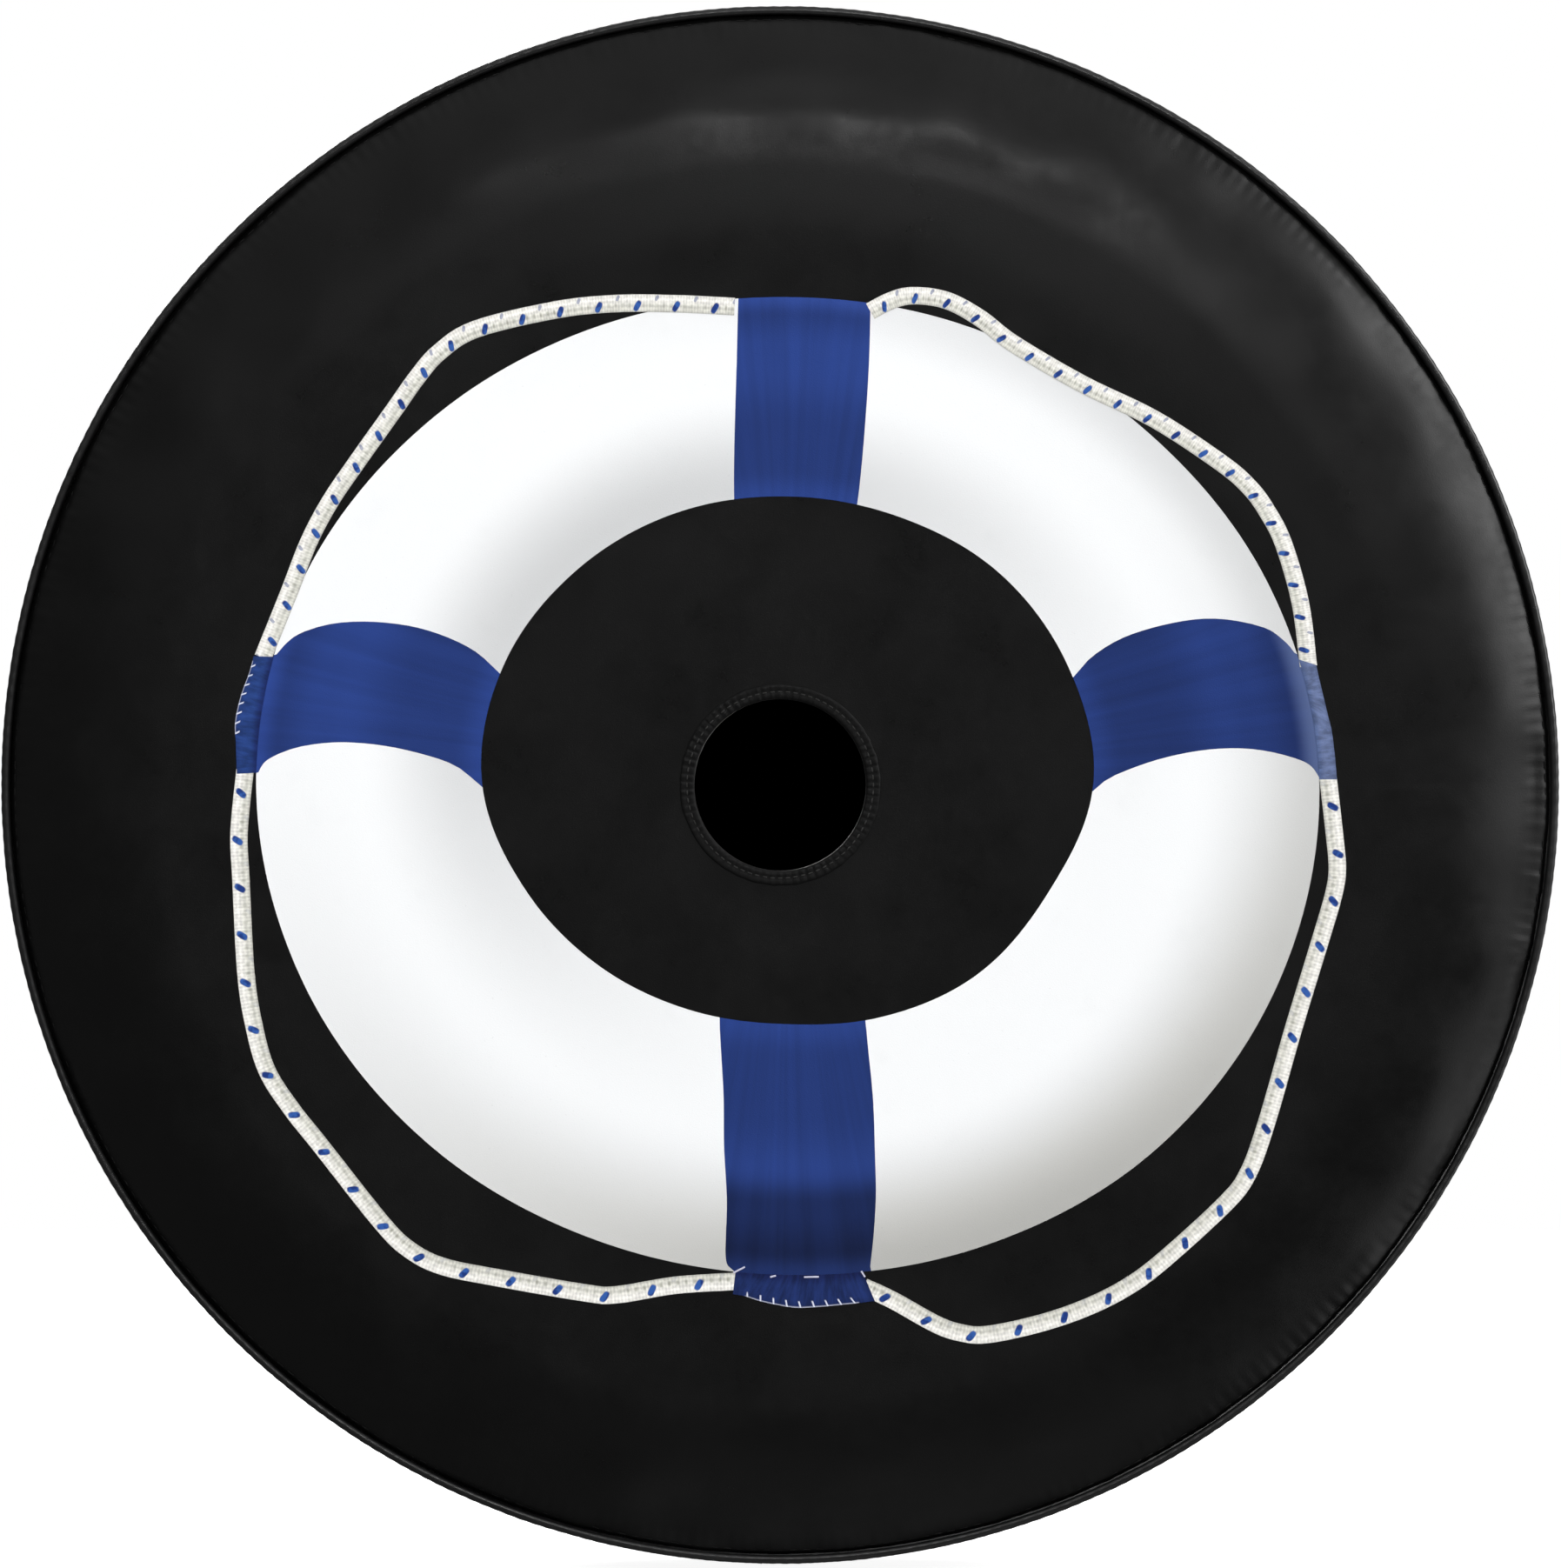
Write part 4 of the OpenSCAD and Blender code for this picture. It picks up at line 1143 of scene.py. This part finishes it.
def casing_at(s, w):
    """(r, y) of a point of the hem casing: s runs towards the axis from its edge, and w to the rear."""
    return tuple(CASING_ORIGIN[k] + s * RETURN_DIR[k] + w * RETURN_OUT[k] for k in (0, 1))


def casing_width(s):
    """Half of the casing's height at a distance from its edge: slim over the band, then round the cord."""
    if s < CASING_OVERLAP - 1 * MM:
        return CASING_SLIM
    if s < CASING_OVERLAP + 3 * MM:
        grown = float(fade(-1, 3, s - CASING_OVERLAP))
        return CASING_SLIM + (CASING_HALF - CASING_SLIM) * grown
    if s < CASING_L - CASING_HALF:
        return CASING_HALF
    return math.sqrt(max(0, CASING_HALF**2 - (s - CASING_L + CASING_HALF) ** 2))


def make_hem():
    steps = np.array((0, 0.4, 2, 4, 6, 7, 8, 9, 10, 11, 12.5, 14, 15.5, 17, 18.6, 19.4, 20.2, 20.9, 21.5,
                      21.85)) * MM
    tip = CASING_L

    def loop(theta):
        """The folded strip with the cord's channel; it bunches up where the cord draws it in."""
        wave = hem_wave(theta)
        bunch = np.cos(300 * theta + 3 * wave_1d(theta, 70, 5.1)) * (0.55 + 0.45 * wave_1d(theta, 80, 7.2))
        bunch *= away_from_exits(theta, 2.4, 4) * 0.42 * MM
        points = [(s, casing_width(s), 1) for s in steps] + [(tip, 0, 0)]
        points += [(s, -casing_width(s), -1) for s in steps[::-1]]
        low = BAND_T / 2 + 0.02 * MM
        inside = [s for s in steps if s < tip - CASING_T]
        points += [(s, -max(low, casing_width(s) - CASING_T), -1) for s in inside]
        points += [(tip - CASING_T, 0, 0)]
        points += [(s, max(low, casing_width(s) - CASING_T), 1) for s in inside[::-1]]
        return [casing_at(s, w + wave + side * bunch * fade(4.5, 10, s)) for s, w, side in points]

    casing = revolve_loop("hem_casing_cloth", loop)
    binding = vinyl("vinyl_hem", grey(0.005, 0.0051), 0.6 * MM, roughness=0.5)
    finish_piece(casing, "cover", "hem_binding", binding, replaces=("hem_casing",))
    sewing = thread("thread_hem", grey(0.03))
    for name, side in (("rear", 1), ("front", -1)):
        def place(a):
            return casing_at(4 * MM, side * (CASING_SLIM + 0.1 * MM) + hem_wave(a))

        out = RETURN_OUT * side
        row = ring_stitches("hem_stitches_" + name, HEM_STITCHES, place, out, 3.6 * MM, THREAD_D)
        finish_piece(row, "cover", "seam_thread", sewing, replaces=("hem_thread",))


def make_joint():
    """The two rows of stitches of the seam that closes the band at its lowest line."""
    starts, ends, outs = [], [], []
    pitch, length, half_row = 4 * MM, 3.1 * MM, 74 * MM
    for degrees in (-1.4, 1.4):
        a = math.radians(-90 + degrees)
        out = np.array((math.cos(a), 0, math.sin(a)))
        for y in np.arange(-half_row, half_row - length, pitch):
            p = out * (BAND_R + BAND_T + 0.1 * MM)
            starts.append(p + (0, y, 0))
            ends.append(p + (0, y + length, 0))
            outs.append(out)
    row = stitch_row("band_joint_stitches", starts, ends, outs, THREAD_D)
    finish_piece(row, "cover", "seam_thread", thread("thread_joint", grey(0.03)),
                 replaces=("band_joint_thread",))


# ---- drawcord and cord lock ----

# The cord's two tails as (x, y, z) in mm: both leave the channel the same way, one on each side, then
# they lie together through the cord lock and end in the cap
TAIL_EXIT = [(22.6, 135.4, -338.75), (18, 135.4, -339), (15, 135.2, -339.6), (12, 135, -340.7),
             (10, 134.9, -341.9), (8.3, 135.6, -343), (7.2, 137, -344), (6.8, 139.1, -344.9),
             (6.6, 140.9, -346.4)]
TAIL_RIGHT = TAIL_EXIT + [(6.2, 142.2, -349), (5.2, 142.6, -353), (3.2, 142.2, -358), (1.1, 141.3, -362),
                          (0, 140.95, -365.5), (0, 140.95, -384), (0, 140.95, -404)]
TAIL_LEFT = [(-x, y, z) for x, y, z in TAIL_EXIT] + [
    (-6.2, 141.8, -349.2), (-5, 141.4, -353.2), (-2.8, 139.4, -358), (-1, 137.6, -362),
    (0, 137.05, -365.5), (0, 137.05, -384), (0, 137.05, -404)]


def tube(name, points, radius, sides, relief):
    """A round cord along points. relief(s, angle) is added to its radius; the map is (length, turn)."""
    p = np.array(points)
    d = np.gradient(p, axis=0)
    d /= np.linalg.norm(d, axis=1)[:, None]
    s = np.concatenate([[0], np.cumsum(np.linalg.norm(np.diff(p, axis=0), axis=1))])
    around = angles(sides)
    side = np.cross(d[0], (0.3, 0.9, 0.2))
    rings = []
    for i, direction in enumerate(d):
        side = side - direction * np.dot(side, direction)
        side /= np.linalg.norm(side)
        up = np.cross(direction, side)
        r = (radius + relief(s[i], around))[:, None]
        rings.append(p[i] + r * (np.cos(around)[:, None] * side + np.sin(around)[:, None] * up))
    rows = len(rings)
    faces = grid_faces(rows, sides, False, True)
    uvs = grid_uvs(faces, around / TURN, s, sides)[:, ::-1]
    caps = [list(range(sides)), [(rows - 1) * sides + j for j in range(sides)][::-1]]
    uvs = np.concatenate([uvs, np.zeros((2 * sides, 2))])
    return new_object(name, np.concatenate(rings), faces.tolist() + caps, uvs)


def cord_material():
    """Braided cover of an elastic cord: crossing strands with painted shade between them, and a thin grey
    tracer.
    """
    n = Nodes("cord_braid")
    along, around = n.uv()
    lead = n.times(along, TURN / STRAND_LEAD)
    turned = n.times(around, TURN * STRANDS)
    one = n.sine(n.plus(lead, turned))
    other = n.sine(n.minus(lead, turned))
    braid = n.math("MAXIMUM", one, other)
    one_turn = n.plus(n.times(along, TURN / (STRANDS * STRAND_LEAD)), n.times(around, TURN))
    tracer = n.span(n.sine(one_turn), 0.93, 0.97)
    # painted shade: the black is darker between the strands, where the braid's bump is low
    black = n.mix(n.span(braid, -0.2, 1), grey(0.003), grey(0.014))
    n.set(Base_Color=n.mix(tracer, black, grey(0.16)))
    n.set(Roughness=n.span(n.noise(1800, 2), 0.3, 0.7, 0.6, 0.8))
    n.set(Normal=n.bump(braid, 0.15 * MM))
    return n.owner


def make_cord():
    s = CASING_L - CASING_T - CORD_D / 2 - 0.3 * MM
    first = math.asin(TAIL_RIGHT[0][0] * MM / casing_at(s, 0)[0])
    theta = np.linspace(-math.pi / 2 + first, 1.5 * math.pi - first, 1000) % TURN
    r, y = casing_at(s, hem_wave(theta))
    ring = wheel_points(r, y, theta)
    right = smooth_line(TAIL_RIGHT, 10)[1:] * MM
    left = smooth_line(TAIL_LEFT, 10)[1:] * MM
    points = np.concatenate([right[::-1], ring, left])

    def relief(along, around):
        """Low ridges where the strands of the braid cross."""
        lead = along * TURN / STRAND_LEAD
        one, other = np.sin(lead + STRANDS * around), np.sin(lead - STRANDS * around)
        return 0.06 * MM * (np.maximum(one, other) - 0.5)

    cord = tube("drawcord_braided", points, TAIL_D / 2, sides=16, relief=relief)
    finish_piece(cord, "cover", "elastic_cord", cord_material(), replaces=("drawcord",))


def make_spring():
    """The lock's coil spring, which the push button presses together."""
    low, high, coil_r, turns, wire_r = -11.55 * MM, -6.05 * MM, 4.2 * MM, 4, 0.35 * MM
    lo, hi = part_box("cord_lock_spring")
    centre = (lo + hi) / 2
    a = np.linspace(0, TURN * turns, 24 * turns + 1)
    closed_turns, closed_rise = 0.6, 0.5 * MM
    turning = (0, TURN * closed_turns, TURN * (turns - closed_turns), TURN * turns)
    x = np.interp(a, turning, (low, low + closed_rise, high - closed_rise, high))
    points = np.stack([x, centre.y + coil_r * np.cos(a), centre.z + coil_r * np.sin(a)], axis=1)
    spring = tube("lock_spring", points, wire_r, sides=10, relief=lambda s, a: 0 * a)
    finish_piece(spring, "cord_lock", "spring_steel", metal("steel_spring", grey(0.55, 0.56), 0.25),
                 replaces=("cord_lock_spring",))
    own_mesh(spring)


def finish_cad_nodes():
    """Better materials for the CAD nodes that are shown as they are."""
    nickel = metal("nickel_eyelet", grey(0.62, 0.60))
    black = plastic("plastic_lock", grey(0.012), 0.38)
    button = plastic("plastic_button", grey(0.022, 0.023), 0.32)
    ring = plastic("plastic_stiffener", grey(0.02), 0.5)
    tape = backing("tape_cloth", 0.02)
    core = thread("cord_piping", (0.6, 0.57, 0.5, 1))
    for names, material in (
        (("drain_eyelets", "drain_eyelet_washers", "hem_eyelets"), nickel),
        (("cord_lock_body", "cord_end_cap"), black),
        (("cord_lock_plunger",), button),
        (("camera_port_stiffener",), ring),
        (("band_joint_tape",), tape),
        (("welt_core",), core),
    ):
        for name in names:
            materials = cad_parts[name].data.materials
            for i in range(len(materials)):
                materials[i] = material


# ---- build ----

make_camera()
make_world()
make_lights()
make_floor()
make_face()
make_print()
make_port()
make_piping()
make_band()
make_hem()
make_joint()
make_cord()
make_spring()
finish_cad_nodes()
